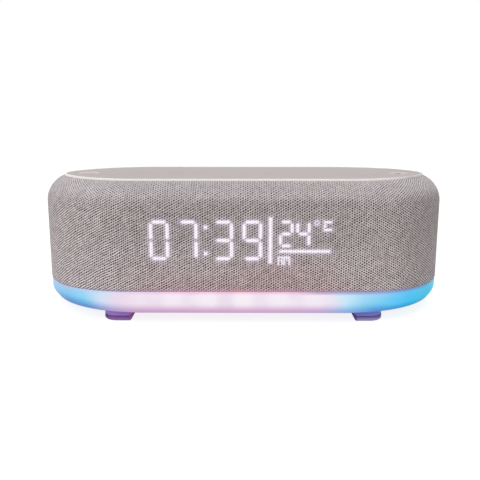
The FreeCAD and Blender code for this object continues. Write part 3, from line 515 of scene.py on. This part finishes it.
def make_cloth():
    distance = cloth_columns()
    profile = cloth_profile()
    places = sweep(distance, profile)
    rows, columns = places.shape[:2]
    fold_seam(places, distance)
    u = np.repeat(distance[None, :], rows, 0)
    v = np.repeat(profile_lengths(profile)[:, None], columns, 1)
    gone = cut_opening(places, u, v)
    faces = [f for f in grid_faces(rows, columns) if not gone[list(f)].all()]
    lower_hem_at_ends(places, distance, profile)
    flat = places.reshape(-1, 3)
    piece = make_object("cloth_sleeve", flat * MM, faces)
    add_vector_attribute(piece, "cloth_uv", np.stack([u.reshape(-1), v.reshape(-1), flat[:, 0]], 1))
    add_vector_attribute(piece, "glow", display_glow(flat))
    turn_in_opening(piece)
    return piece


# The marks that shine through the cloth

# Which bars of each digit are lit, from the top bar clockwise, with the middle bar last
LIT_BARS = {"0": "abcdef", "7": "abc", "3": "abcdg", "9": "abcdfg", "2": "abdeg", "4": "bcfg"}
LARGE_DIGITS = {"0": -39.1, "7": -25.7, "3": -9.2, "9": 4.3}
SMALL_DIGITS = {"2": 20.0, "4": 27.9}
large_z, large_half_width, large_half_height = 41.0, 5.2, 10.2
small_z, small_half_width, small_half_height = 44.1, 3.8, 7.0
middle_bar_reach = 1.2

# Where the word and the unit lie, how far each mark's light reaches past its edge, and how soft it is
word_left, word_top = 15.0, 34.2
unit_left, unit_low = 36.2, 40.0
mark_reach, word_reach, unit_reach = 0.32, 0.26, 0.44
mark_blur, word_blur = 0.96, 0.42
halo_reach = 0.8

# How far behind the front a place still counts as front, on the light guide and on the cloth
front_tolerance = 0.01
front_reach = 0.2


def light_guide_triangles():
    """The front triangles of the light guide behind the cloth, in millimetres across and up."""
    mesh = nodes["display_segments"].data
    front = min(v.co.y for v in mesh.vertices)
    mesh.calc_loop_triangles()
    triangles = []
    for triangle in mesh.loop_triangles:
        corners = [mesh.vertices[i].co for i in triangle.vertices]
        if max(c.y for c in corners) < front + front_tolerance * MM:
            triangles.append([(c.x / MM, c.z / MM) for c in corners])
    return triangles


def group_marks(triangles):
    """The triangles gathered into marks that share corners."""
    marks = []
    for triangle in triangles:
        keys = {(round(x, 2), round(z, 2)) for x, z in triangle}
        joined = [mark for mark in marks if mark["keys"] & keys]
        merged = {"keys": keys, "triangles": [triangle]}
        for mark in joined:
            merged["keys"] |= mark["keys"]
            merged["triangles"] += mark["triangles"]
            marks.remove(mark)
        marks.append(merged)
    return marks


def bar_letter(dx, dz, half_height):
    """The usual letter of a bar from its place in the digit."""
    if abs(dx) < middle_bar_reach:
        return "a" if dz > half_height / 2 else "d" if dz < -half_height / 2 else "g"
    if dx > 0:
        return "b" if dz > 0 else "c"
    return "f" if dz > 0 else "e"


def is_lit(mark):
    """Whether the clock shows this mark: digits light some of their bars, everything else is on."""
    corners = np.array(sorted(mark["keys"]))
    x, z = (corners.min(0) + corners.max(0)) / 2
    for digits, middle, half_width, half_height in (
        (LARGE_DIGITS, large_z, large_half_width, large_half_height),
        (SMALL_DIGITS, small_z, small_half_width, small_half_height),
    ):
        for digit, digit_x in digits.items():
            if abs(x - digit_x) < half_width and abs(z - middle) < half_height:
                return bar_letter(x - digit_x, z - middle, half_height) in LIT_BARS[digit]
    return True


def lit_marks():
    triangles = []
    for mark in group_marks(light_guide_triangles()):
        if is_lit(mark):
            triangles += mark["triangles"]
    return np.array(triangles)


def outer_edges(triangles):
    """The edges that only one of the triangles has."""
    seen = {}
    for triangle in triangles:
        keys = [(round(x, 3), round(z, 3)) for x, z in triangle]
        for index in range(3):
            key = tuple(sorted((keys[index], keys[(index + 1) % 3])))
            seen[key] = seen.get(key, 0) + 1
    return np.array([key for key, count in seen.items() if count == 1])


def inside_any(points, triangles):
    """Whether each point lies in any of the triangles."""
    found = np.zeros(len(points), bool)
    for a, b, c in triangles:
        turns = []
        for p, q in ((a, b), (b, c), (c, a)):
            turns.append((q[0] - p[0]) * (points[:, 1] - p[1]) - (q[1] - p[1]) * (points[:, 0] - p[0]))
        turns = np.array(turns)
        found |= (turns >= 0).all(0) | (turns <= 0).all(0)
    return found


def edge_distance(points, edges):
    """How far each point is from the nearest edge."""
    nearest = np.full(len(points), np.inf)
    for a, b in edges:
        along = b - a
        share = np.clip(((points - a) @ along) / max(along @ along, 1e-12), 0, 1)
        gap = np.hypot(*(points - a - share[:, None] * along).T)
        nearest = np.minimum(nearest, gap)
    return nearest


def display_glow(places):
    """How strongly each place of the cloth shows a mark, and the soft light round it."""
    glow = np.zeros((len(places), 3))
    front = (places[:, 1] < -half_depth + front_reach) & (np.abs(places[:, 0]) < half_flat)
    points = places[front][:, [0, 2]]
    triangles = lit_marks()
    distance = edge_distance(points, outer_edges(triangles))
    distance[inside_any(points, triangles)] *= -1
    x, z = points.T
    word = (x > word_left) & (z < word_top)
    unit = (x > unit_left) & (z > unit_low)
    reach = np.where(unit, unit_reach, np.where(word, word_reach, mark_reach))
    glow[front, 0] = smooth_step((reach - distance) / np.where(word, word_blur, mark_blur))
    glow[front, 1] = np.exp(-np.maximum(distance, 0) / halo_reach)
    return glow


# The look of the cloth

# Pitch of the threads across and up, their slant, and how much the slant grows from left to right
weave_across = 1.095
weave_up = 1.23
weave_slant = 0.49
weave_turn = 0.00024


def thread_places(net, flat, u, v):
    """Counts of threads across and up, with a slow drift, so that no row is quite straight."""
    drift = net.span(net.noise(flat, 0.11), 0.3, 0.7, -0.22, 0.22, False)
    elsewhere = net.vector("ADD", flat, (61.0, 17.0, 0.0))
    drift_up = net.span(net.noise(elsewhere, 0.14), 0.3, 0.7, -0.2, 0.2, False)
    steady = net.over(net.minus(u, FRONT), weave_across)
    across = net.plus(steady, drift)
    bend = net.times(steady, steady, weave_turn)
    slanted = net.minus(net.over(v, weave_up), net.times(across, weave_slant))
    return across, net.plus(net.minus(slanted, bend), drift_up)


def weave_waves(net, across, up, x, shoulder):
    """Three families of threads that cross: pin-holes lie where all three are high."""
    columns = net.times(net.wave(across), 0.75)
    mirrored = net.times(x, net.span(shoulder, 0.0, 1.0, 1.0, -0.9))
    rising = net.times(net.wave(up), net.span(mirrored, -60.0, 15.0, 1.35, 0.9, False))
    falling = net.wave(net.plus(up, across))
    falling = net.times(falling, net.span(mirrored, 5.0, 80.0, 0.5, 1.2, False))
    return net.plus(rising, falling, columns)


def pin_holes(net, waves, across, up, shoulder):
    """Dark holes between the threads, each of its own depth, and shallower on the shoulder as painted light
    from above.
    """
    chance = net.cells(net.join(net.math("ROUND", across), net.math("ROUND", up)))
    depth = net.span(chance, 0.0, 1.0, 0.48, 1.08, False)
    shoulder_light_fade = net.span(shoulder, 0.0, 1.0, 1.0, 0.78)
    return net.times(net.span(waves, -0.2, 1.05), depth, shoulder_light_fade)


def raised_threads(net, waves, across, up):
    """Where threads cross and catch the light, each by its own amount."""
    cell = net.join(net.math("FLOOR", across), net.math("FLOOR", up))
    chance = net.cells(net.vector("ADD", cell, (31.0, 77.0, 0.0)))
    return net.times(net.span(waves, 0.05, -1.0), net.span(chance, 0.0, 1.0, 0.25, 1.1, False))


def thread_color(net, flat, across, up, x, shoulder, hole, crossing):
    """Rose-grey threads, paler where they cross, with painted light from above on the shoulder, and with
    slow patches and streaks.
    """
    patch = net.span(net.noise(flat, 0.16, 3.0, 0.6), 0.3, 0.7)
    streak = net.noise(net.join(net.times(across, 0.9), net.times(up, 0.16)), 1.0)
    color = net.mix(patch, srgb(190, 176, 175), srgb(196, 184, 186))
    color = net.mix(net.span(x, -60.0, 40.0, 0.0, 0.3), color, srgb(190, 173, 166))
    color = net.mix(crossing, color, srgb(252, 241, 242))
    # Painted light from above: the shoulder is paler.
    color = net.mix(net.times(shoulder, 0.45), color, srgb(214, 210, 214))
    color = net.mix(hole, color, srgb(34, 24, 30))
    streak_tone = net.span(streak, 0.3, 0.7, -0.045, 0.045)
    return net.toned(color, net.plus(streak_tone, net.span(patch, 0.0, 1.0, 0.975, 1.025, False)))


def upper_wall_shade(net, color, v, x):
    """The cloth is a little darker below the shoulder, at the right end and close under the trim."""
    strength = net.minus(net.span(x, -85.0, -30.0, 0.07, 0.205), net.span(x, 46.0, 60.0, 0.0, 0.08))
    front = net.times(net.span(v, 8.0, 29.0), strength)
    right = net.plus(net.span(x, 66.0, 86.0, 0.0, 0.16), net.span(x, 84.0, 98.0, 0.0, 0.06))
    wall = net.times(net.span(v, 48.0, 42.0), net.plus(front, right))
    low = net.times(net.span(v, 15.0, 7.0), net.span(x, 62.0, 84.0, 0.0, 0.05))
    middle = net.times(net.span(x, -75.0, -50.0), net.span(x, 60.0, 20.0, 0.0, 0.09))
    under_trim = net.times(net.span(v, 45.0, 50.0), middle)
    return net.toned(color, net.minus(1.0, net.plus(wall, low, under_trim)))


def painted_ring_glow(net, color, v, u, x):
    """Painted light: the glow of the ring on the lowest threads, rose in the middle and violet-blue at the
    ends.
    """
    along = net.math("ABSOLUTE", net.minus(u, FRONT))
    lowest = net.times(net.span(v, 11.0, 2.5), net.span(along, 72.0, 34.0))
    middle = net.plus(net.span(x, -75.0, -45.0, 0.0, 0.32), net.span(x, -15.0, 12.0, 0.0, 0.4))
    middle = net.times(middle, net.span(x, 54.0, 30.0, 0.15, 1.0))
    above = net.times(net.span(v, 18.0, 14.0), net.span(v, 3.0, 9.0), middle)
    color = net.mix(net.plus(lowest, above), color, net.tinted(color, 0.93, 0.82, 0.83))
    hue = net.ramp(net.over(along, 120.0), [
        (0.0, srgb(242, 164, 192)),
        (0.3, srgb(214, 160, 196)),
        (0.42, srgb(196, 162, 200)),
        (0.5, srgb(172, 150, 192)),
        (0.8, srgb(112, 134, 178)),
        (1.0, srgb(116, 150, 190)),
    ])
    hem_middle = net.times(net.span(v, 2.5, 0.7), net.span(along, 80.0, 50.0, 0.0, 0.7))
    hem_ends = net.times(net.span(v, 1.5, 0.4), net.span(along, 50.0, 80.0, 0.0, 0.5))
    return net.mix(net.plus(hem_middle, hem_ends), color, hue)


def finish_cloth(net, color, hole, crossing, flat):
    """Sets the shader: soft rough threads, with the marks shining between and through them."""
    core, halo, _ = net.parts(net.attribute("glow"))
    lit = net.times(core, net.minus(1.0, net.times(hole, 0.5)))
    light = net.plus(net.times(lit, 0.9), net.times(halo, 0.2))
    height = net.minus(crossing, net.times(hole, 1.4))
    height = net.plus(height, net.times(net.noise(flat, 3.2, 3.0, 0.65), 0.35))
    net.set(Base_Color=net.mix(core, color, srgb(70, 64, 74)), Roughness=0.92)
    net.set(Normal=net.bump(height, 0.1, 0.7))
    net.set(Emission_Color=net.mix(core, srgb(230, 214, 244), srgb(243, 240, 247)), Emission_Strength=light)
    net.set(Sheen_Weight=0.12, Sheen_Roughness=0.5, Specular_IOR_Level=0.2)


def cloth_material():
    net = Coat("knitted_cloth")
    u, v, x = net.parts(net.attribute("cloth_uv"))
    flat = net.join(u, v)
    shoulder = net.span(v, 38.0, 50.0)
    across, up = thread_places(net, flat, u, v)
    waves = weave_waves(net, across, up, x, shoulder)
    hole = pin_holes(net, waves, across, up, shoulder)
    crossing = raised_threads(net, waves, across, up)
    color = thread_color(net, flat, across, up, x, shoulder, hole, crossing)
    color = upper_wall_shade(net, color, v, x)
    color = painted_ring_glow(net, color, v, u, x)
    finish_cloth(net, color, hole, crossing, flat)
    return net.material


# The glowing ring

lamp_count = 30
lamp_pitch = PERIMETER / lamp_count
weak_lamp_x = -8.5
ring_wall = 2.4
ring_round = 3.2
ring_inner_low = 2.8
ring_inner_rise = 0.03
ring_top_gap = 0.02
ring_step = 0.9
round_points = 18
wall_points = 10

# The rounded top edge: its height, and its points as insets and drops
ring_edge_height = 0.5
ring_top_edge = ((0.05, 0.2), (0.2, 0.05), (0.5, 0.0))

# At the two ends the lower edge is rounder, by this much across and up
ends_wider = 1.0
ends_taller = 2.6
ends_start = 70
ends_length = 40


def ring_profile(distance):
    """The ring's section, from the inner corner round its lower edge to the top, for each distance."""
    rounder = smooth_step((from_middle(distance) - ends_start) / ends_length)
    across = ring_round + ends_wider * rounder
    up = ring_round + ends_taller * rounder
    outer = half_depth - ring_high.y
    inner = outer + ring_wall
    top = ring_high.z - ring_top_gap
    start = np.arccos((across - ring_wall) / across)
    lower_edge = ring_low.z + up - up * np.sin(start) + ring_inner_rise
    rows = [(inner, ring_low.z + ring_inner_low), (inner, lower_edge)]
    for part in np.linspace(1, 0, round_points):
        turn = start * part
        rows.append((outer + across - across * np.cos(turn), ring_low.z + up - up * np.sin(turn)))
    for part in np.linspace(0, 1, wall_points)[1:]:
        rows.append((outer, (ring_low.z + up) * (1 - part) + (top - ring_edge_height) * part))
    rows += [(outer + inset, top - drop) for inset, drop in ring_top_edge]
    return rows + [(inner, top)]


def make_ring():
    distance = np.array(steps(0, PERIMETER, ring_step))
    places = sweep(distance, ring_profile(distance))
    rows, columns = places.shape[:2]
    flat = places.reshape(-1, 3)
    piece = make_object("glow_ring", flat * MM, grid_faces(rows, columns, closed=True))
    along = np.repeat(distance[None, :], rows, 0).reshape(-1)
    side = np.sign(flat[:, 0])
    add_vector_attribute(piece, "ring_place", np.stack([np.abs(along - FRONT), flat[:, 2], side], 1))
    add_vector_attribute(piece, "ring_round", np.stack([along] * 3, 1))
    return piece


def ring_body_color(net, share, turn):
    """Rose-white at the front, then sky blue, greener on the right, and rose-white again at the rear."""
    left = net.ramp(share, [
        (0.0, srgb(250, 243, 250)),
        (0.17, srgb(247, 236, 247)),
        (0.235, srgb(238, 220, 238)),
        (0.275, srgb(208, 227, 247)),
        (0.315, srgb(160, 214, 248)),
        (0.36, srgb(160, 203, 240)),
        (0.4, srgb(166, 202, 238)),
        (0.47, srgb(164, 200, 234)),
        (0.62, srgb(196, 214, 240)),
        (0.78, srgb(234, 222, 240)),
        (1.0, srgb(244, 236, 246)),
    ])
    right = net.ramp(share, [
        (0.0, srgb(250, 243, 250)),
        (0.16, srgb(247, 237, 248)),
        (0.19, srgb(210, 236, 251)),
        (0.23, srgb(170, 220, 248)),
        (0.29, srgb(124, 207, 249)),
        (0.33, srgb(98, 201, 247)),
        (0.37, srgb(94, 201, 238)),
        (0.4, srgb(84, 196, 224)),
        (0.47, srgb(112, 202, 226)),
        (0.62, srgb(168, 212, 240)),
        (1.0, srgb(244, 236, 246)),
    ])
    return net.mix(turn, left, right)


def ring_edge_color(net, share, turn):
    """The deeper colours of the lower edge."""
    left = net.ramp(share, [
        (0.0, srgb(219, 174, 210)),
        (0.2, srgb(208, 168, 208)),
        (0.25, srgb(174, 168, 214)),
        (0.3, srgb(98, 148, 210)),
        (0.36, srgb(88, 138, 196)),
        (0.42, srgb(128, 160, 206)),
        (0.6, srgb(150, 164, 208)),
        (1.0, srgb(206, 160, 205)),
    ])
    right = net.ramp(share, [
        (0.0, srgb(219, 174, 210)),
        (0.14, srgb(207, 172, 214)),
        (0.19, srgb(146, 182, 232)),
        (0.25, srgb(88, 152, 218)),
        (0.33, srgb(16, 162, 220)),
        (0.4, srgb(4, 174, 206)),
        (0.6, srgb(120, 170, 210)),
        (1.0, srgb(206, 160, 205)),
    ])
    return net.mix(turn, left, right)


def ring_rim_color(net, share, turn):
    """The colours of the top rim, under the cloth's hem."""
    left = net.ramp(share, [
        (0.0, srgb(252, 206, 230)),
        (0.2, srgb(238, 212, 236)),
        (0.26, srgb(202, 222, 246)),
        (0.33, srgb(176, 204, 236)),
        (0.38, srgb(180, 188, 220)),
        (0.6, srgb(196, 196, 226)),
        (1.0, srgb(248, 214, 234)),
    ])
    right = net.ramp(share, [
        (0.0, srgb(252, 206, 230)),
        (0.1, srgb(244, 206, 230)),
        (0.14, srgb(190, 168, 200)),
        (0.18, srgb(164, 182, 222)),
        (0.24, srgb(156, 166, 214)),
        (0.29, srgb(142, 152, 212)),
        (0.32, srgb(126, 148, 208)),
        (0.37, srgb(100, 162, 206)),
        (0.6, srgb(150, 180, 216)),
        (1.0, srgb(248, 214, 234)),
    ])
    return net.mix(turn, left, right)


def deepen_low_blue(net, color, share, side, height):
    """The blue grows deeper from the top of the ring down."""
    first = net.span(side, -0.5, 0.5, 0.26, 0.17)
    blue = net.span(share, first, net.plus(first, 0.06))
    deep = net.times(net.span(height, 14.5, 8.5), net.span(share, 0.8, 0.5), blue)
    return net.mix(deep, color, net.tinted(color, 0.6, 0.96, 1.0))


def lower_edge_share(net, share, side, height):
    """How much the lower edge's colour shows: it reaches higher at the left end, lower at the right."""
    reach = net.times(net.span(share, 0.24, 0.3), net.span(side, -0.5, 0.5, 0.4, -1.6))
    reach = net.times(reach, net.span(share, 0.8, 0.5))
    return net.span(height, net.plus(reach, ring_low.z + 5.8), ring_low.z + 0.9)


def lamp_pools(net, color, share):
    """The front is a little darker between the lamps inside, unevenly, and at one weak lamp."""
    spot = net.wave(net.over(net.parts(net.attribute("ring_round"))[0], lamp_pitch))
    place = net.place()
    uneven = net.noise(net.vector("MULTIPLY", place, (0.05, 0.05, 0.12)), 1.0)
    from_weak = net.math("ABSOLUTE", net.minus(net.parts(place)[0], weak_lamp_x))
    uneven = net.plus(net.span(uneven, 0.3, 0.7, 0.25, 0.75), net.span(from_weak, 8.0, 2.0, 0.0, 0.5))
    dim = net.times(net.span(spot, 1.0, -1.0), uneven, net.span(share, 0.24, 0.16, 0.0, 0.75))
    return net.mix(dim, color, net.mix(0.35, color, srgb(206, 168, 210)))


def ring_material():
    """Milky plastic lit from inside: rose-white at the front, sky blue round the ends."""
    net = Coat("milky_light_ring")
    along, height, side = net.parts(net.attribute("ring_place"))
    share = net.over(along, FRONT)
    turn = net.span(side, -0.5, 0.5)
    color = deepen_low_blue(net, ring_body_color(net, share, turn), share, side, height)
    color = net.mix(lower_edge_share(net, share, side, height), color, ring_edge_color(net, share, turn))
    drop_end = hem_drop_start + hem_drop_length
    from_hem = net.plus(height, net.span(along, hem_drop_start, drop_end, 0.0, hem_drop))
    rim = net.span(from_hem, ring_high.z - 1.7, ring_high.z - 0.5, 0.0, 0.85)
    color = net.mix(rim, color, ring_rim_color(net, share, turn))
    color = lamp_pools(net, color, share)
    net.set(Base_Color=net.tinted(color, 0.42, 0.42, 0.42), Roughness=0.42, Specular_IOR_Level=0.03)
    net.set(Emission_Color=color, Emission_Strength=0.66)
    net.set(Normal=net.bump(net.noise(net.place(), 6.0), 0.01, 0.3))
    return net.material


# Materials of the moulded and metal pieces


def mould(net, color, roughness, grain=4.0, depth_mm=0.01, specular=0.4):
    """Sets a colour and the fine even grain of moulded plastic."""
    fine = net.noise(net.place(), grain, 3.0, 0.6)
    rough = net.span(fine, 0.25, 0.75, roughness - 0.05, roughness + 0.05, False)
    net.set(Base_Color=color, Roughness=rough, Normal=net.bump(fine, depth_mm, 0.5))
    net.set(Specular_IOR_Level=specular)
    return net


def plastic(name, color, roughness, spread=0.05, **details):
    """Moulded plastic with a slight change of tone."""
    net = Coat(name)
    tone = net.span(net.noise(net.place(), 0.06, 3.0), 0.3, 0.7, 1 - spread, 1 + spread, False)
    return mould(net, net.toned(srgb(*color), tone), roughness, **details)


def metal(name, color, roughness):
    net = plastic(name, color, roughness, grain=2.5, depth_mm=0.005, spread=0.06, specular=0.5)
    net.set(Metallic=1.0)
    return net


def top_panel_net():
    """Satin grey top with a very fine grain and soft cloudiness."""
    net = Coat("satin_top")
    place = net.place()
    grain = net.noise(place, 5.0, 4.0, 0.7)
    cloud = net.noise(net.vector("MULTIPLY", place, (0.02, 0.04, 0.1)), 1.0)
    color = net.mix(net.span(cloud, 0.3, 0.7, 0.0, 1.0, False), srgb(175, 163, 162), srgb(180, 169, 167))
    color = net.mix(net.span(grain, 0.35, 0.65, 0.0, 0.3), color, srgb(200, 189, 187))
    net.set(Base_Color=color, Roughness=net.span(grain, 0.2, 0.8, 0.42, 0.55, False))
    net.set(Normal=net.bump(grain, 0.012, 0.5), Specular_IOR_Level=0.35)
    return net


def trim_net():
    """Cream trim whose near-white is partly a painted highlight, greyer where it turns away from the light
    at the right end.
    """
    net = Coat("cream_trim_painted_highlight")
    x = net.parts(net.place())[0]
    color = net.mix(net.span(x, 60.0, 84.0), srgb(254, 252, 248), srgb(230, 225, 222))
    color = net.mix(net.span(x, 77.0, 83.0), color, srgb(208, 203, 201))
    return mould(net, color, 0.3, grain=6.0, depth_mm=0.006, specular=0.6)


def key_net():
    """Satin keys with a painted reflection that makes them paler than the top round them, the left one more
    so.
    """
    net = Coat("key_satin_painted_reflection")
    x = net.parts(net.place())[0]
    color = net.mix(net.span(x, -40.0, 40.0), srgb(216, 207, 205), srgb(200, 191, 189))
    return mould(net, color, 0.42, grain=5.0)


def foot_inner_side(net, x):
    """High on the side of each foot that faces the middle, which is painted with a deeper colour of the
    ring's light.
    """
    return net.span(net.math("ABSOLUTE", x), 55.6, 54.7)


def base_net():
    """Base plastic with the ring's light painted on it: violet round the feet, deeper on their inner sides,
    and blue toward the two ends.
    """
    net = Coat("base_plastic")
    place = net.place()
    x = net.parts(place)[0]
    grain = net.noise(place, 3.0, 3.0, 0.6)
    side = net.span(x, -40.0, 60.0)
    color = net.mix(side, srgb(175, 129, 213), srgb(133, 136, 217))
    color = net.mix(net.span(grain, 0.3, 0.7, 0.0, 0.15), color, srgb(120, 92, 150))
    inner = net.mix(side, srgb(191, 118, 192), srgb(129, 124, 213))
    color = net.mix(foot_inner_side(net, x), color, inner)
    rim = net.mix(side, srgb(96, 140, 204), srgb(16, 150, 196))
    color = net.mix(net.span(net.math("ABSOLUTE", x), 70.0, 75.0), color, rim)
    net.set(Base_Color=color, Roughness=0.5, Normal=net.bump(grain, 0.015, 0.5))
    return net


def rubber_net():
    """Foot rubber, paler towards its lower edge, with the ring's violet light painted on it from above."""
    net = Coat("foot_rubber")
    place = net.place()
    x, _, z = net.parts(place)
    grain = net.noise(place, 3.5, 3.0, 0.65)
    side = net.span(x, -40.0, 40.0)
    foot = net.mix(side, srgb(168, 128, 188), srgb(196, 188, 226))
    top = net.mix(side, srgb(117, 68, 145), srgb(114, 84, 160))
    color = net.mix(net.span(z, 0.0, 2.4), foot, top)
    color = net.mix(net.span(grain, 0.35, 0.7, 0.0, 0.2), color, srgb(170, 150, 188))
    # Painted shade toward the outer end of the left foot, where less of the ring's light falls.
    color = net.mix(net.span(x, -62.0, -69.0, 0.0, 0.75), color, srgb(84, 62, 110))
    inner = net.mix(side, srgb(189, 106, 186), srgb(104, 78, 156))
    color = net.mix(foot_inner_side(net, x), color, inner)
    net.set(Base_Color=color, Roughness=0.75, Normal=net.bump(grain, 0.03, 0.6))
    return net


# Which node has which material


def paint(net, *node_names):
    for name in node_names:
        data = nodes[name].data
        if not data.materials:
            data.materials.append(net.material)
        for index in range(len(data.materials)):
            data.materials[index] = net.material


def both(part):
    """The names of a part of the left and the right loudspeaker."""
    return "left_" + part, "right_" + part


def paint_outside():
    paint(top_panel_net(), "top_panel")
    paint(trim_net(), "top_trim_ring")
    paint(key_net(), "talk_key", "light_key")
    paint(base_net(), "base_plate")
    feet = [f"{end}_{side}_foot_pad" for end in ("front", "rear") for side in ("left", "right")]
    paint(rubber_net(), *feet)
    paint(plastic("cabinet_plastic", (58, 56, 60), 0.5), "cabinet_shell", "battery_cradle")
    paint(plastic("rear_plastic", (72, 68, 72), 0.48, grain=3.0, depth_mm=0.03), "rear_panel")
    rear_keys = ["hour_key", "minute_key", "alarm_key", "mode_key", "power_slider"]
    paint(plastic("rear_keys", (198, 190, 188), 0.45), *rear_keys)
    paint(metal("socket_steel", (184, 184, 186), 0.28), "charging_socket")
    paint(plastic("socket_plastic", (30, 30, 32), 0.4), "charging_socket_tongue")


def paint_inside():
    boards = ["top_key_board", "led_board", "display_board", "main_board"]
    paint(plastic("circuit_board", (28, 92, 62), 0.4, grain=1.5, spread=0.12), *boards)
    switches = ["top_key_switches", "rear_key_switches", "power_switch_body", "board_components"]
    paint(plastic("switch_plastic", (36, 36, 38), 0.4), *switches)
    paint(plastic("sensor_white", (214, 212, 206), 0.4), "temperature_sensor")
    paint(plastic("led_white", (236, 232, 214), 0.3), "led_chips")
    paint(plastic("display_black", (24, 24, 26), 0.6), "display_housing")
    paint(plastic("light_guide", (226, 226, 236), 0.25), "display_segments")
    paint(plastic("display_smoke", (34, 34, 38), 0.15), "display_window")
    paint(plastic("cell_wrap", (70, 108, 150), 0.35), "battery_cell")
    screws = ["base_screws", "driver_screws", "board_screws", "panel_screws"]
    paint(metal("screw_steel", (176, 174, 172), 0.32), *screws)


def paint_speakers():
    paint(plastic("baffle_plastic", (50, 48, 52), 0.55), *both("speaker_baffle"))
    paint(metal("basket_steel", (128, 128, 130), 0.42), *both("speaker_basket"))
    plates = both("speaker_front_plate") + both("speaker_yoke")
    paint(metal("plate_steel", (150, 148, 146), 0.38), *plates)
    paint(plastic("magnet_dark", (52, 50, 50), 0.6), *both("speaker_magnet"))
    paint(metal("coil_copper", (196, 118, 74), 0.35), *both("voice_coil"))
    paint(plastic("cone_paper", (44, 44, 46), 0.8, grain=2.0, depth_mm=0.05), *both("speaker_cone"))
    paint(plastic("cap_paper", (40, 40, 42), 0.7, grain=2.0, depth_mm=0.03), *both("dust_cap"))
    paint(plastic("soft_rubber", (30, 30, 32), 0.6), *both("speaker_surround"))
    paint(plastic("spider_cloth", (188, 150, 92), 0.85), *both("speaker_spider"))


# The room and the camera

# Lengths in the room are in metres
floor_radius = 3.0
floor_points = 96
lamp_target = (0, 0, 0.04)


def make_floor():
    """A round pale floor that keeps the clock's shadow and shows white to the camera."""
    vertices = [(0, 0, 0)]
    for index in range(floor_points):
        angle = math.tau * index / floor_points
        vertices.append((floor_radius * math.cos(angle), floor_radius * math.sin(angle), 0))
    faces = [(0, 1 + i, 1 + (i + 1) % floor_points) for i in range(floor_points)]
    floor = make_object("studio_floor", vertices, faces, False)
    net = Coat("pale_floor")
    seen = net.white_rays()
    grain = net.span(net.noise(net.place(), 0.02), 0.3, 0.7)
    shown = net.mix(grain, (0.34, 0.34, 0.34, 1), (0.36, 0.36, 0.36, 1))
    hidden = net.mix(grain, (0.86, 0.86, 0.86, 1), (0.88, 0.88, 0.88, 1))
    net.set(Base_Color=net.mix(seen, hidden, shown), Roughness=0.9, Specular_IOR_Level=0.0)
    net.set(Emission_Color=(1, 1, 1, 1), Emission_Strength=net.times(seen, 0.85))
    floor.data.materials.append(net.material)


def make_world():
    """White to the camera and to reflections, and a plain soft fill on the object."""
    world = bpy.data.worlds.new("studio_world")
    bpy.context.scene.world = world
    world.use_nodes = True
    net = Net(world.node_tree)
    background = net.nodes["Background"]
    background.inputs["Color"].default_value = (1, 1, 1, 1)
    net.put(background.inputs["Strength"], net.span(net.white_rays(), 0.0, 1.0, 0.55, 1.0, False))


def soft_lamp(name, place, size, power):
    """A rectangular lamp, in metres and watts, that points at the clock's middle."""
    data = bpy.data.lights.new(name, "AREA")
    data.shape = "RECTANGLE"
    data.size, data.size_y = size
    data.energy = power
    lamp = bpy.data.objects.new(name, data)
    lamp.location = place
    direction = Vector(lamp_target) - Vector(place)
    lamp.rotation_euler = direction.to_track_quat("-Z", "Y").to_euler()
    bpy.context.scene.collection.objects.link(lamp)


def make_lights():
    soft_lamp("key_lamp", (-0.75, -0.85, 0.75), (0.9, 0.9), 4.0)
    soft_lamp("fill_lamp", (0.9, -0.7, 0.5), (0.8, 0.8), 0.15)
    soft_lamp("top_lamp", (0.2, 0.25, 1.1), (1.2, 0.8), 3.6)


def make_camera():
    """The photograph's view: slightly from above, square on. Its place is worked out in millimetres."""
    photo_pixels = 480
    focal_pixels = 621.4
    sensor_width = 36.0
    distance = 335.55
    down = 0.199
    turn = -0.0065
    aim_x = -1.7275
    aim_z = 31.955
    data = bpy.data.cameras.new("photo_camera")
    data.sensor_width = sensor_width
    data.lens = focal_pixels / photo_pixels * sensor_width
    data.clip_start = 0.01
    data.clip_end = 20.0
    camera = bpy.data.objects.new("photo_camera", data)
    back = -distance * math.cos(down)
    x = aim_x * math.cos(turn) + back * math.sin(turn)
    y = -aim_x * math.sin(turn) + back * math.cos(turn)
    forward = Vector((math.cos(down) * math.sin(turn), math.cos(down) * math.cos(turn), -math.sin(down)))
    right = Vector((math.cos(turn), -math.sin(turn), 0))
    above = right.cross(forward)
    axes = Matrix((right, above, -forward)).transposed().to_4x4()
    place = Vector((x, y, aim_z + distance * math.sin(down))) * MM
    camera.matrix_world = Matrix.Translation(place) @ axes
    bpy.context.scene.collection.objects.link(camera)
    bpy.context.scene.camera = camera


# The whole scene


def dress_cloth():
    cloth = make_cloth()
    cloth.data.materials.append(cloth_material())
    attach(cloth, "cabinet")
    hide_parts("fabric_sleeve")
    cut = (PERIMETER * MM, profile_lengths(cloth_profile())[-1] * MM)


def dress_ring():
    ring = make_ring()
    ring.data.materials.append(ring_material())
    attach(ring, "cabinet")
    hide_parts("light_ring")


def main():
    bpy.context.scene.view_settings.view_transform = "Standard"
    make_camera()
    make_world()
    make_lights()
    make_floor()
    paint_outside()
    paint_inside()
    paint_speakers()
    dress_cloth()
    dress_ring()


main()
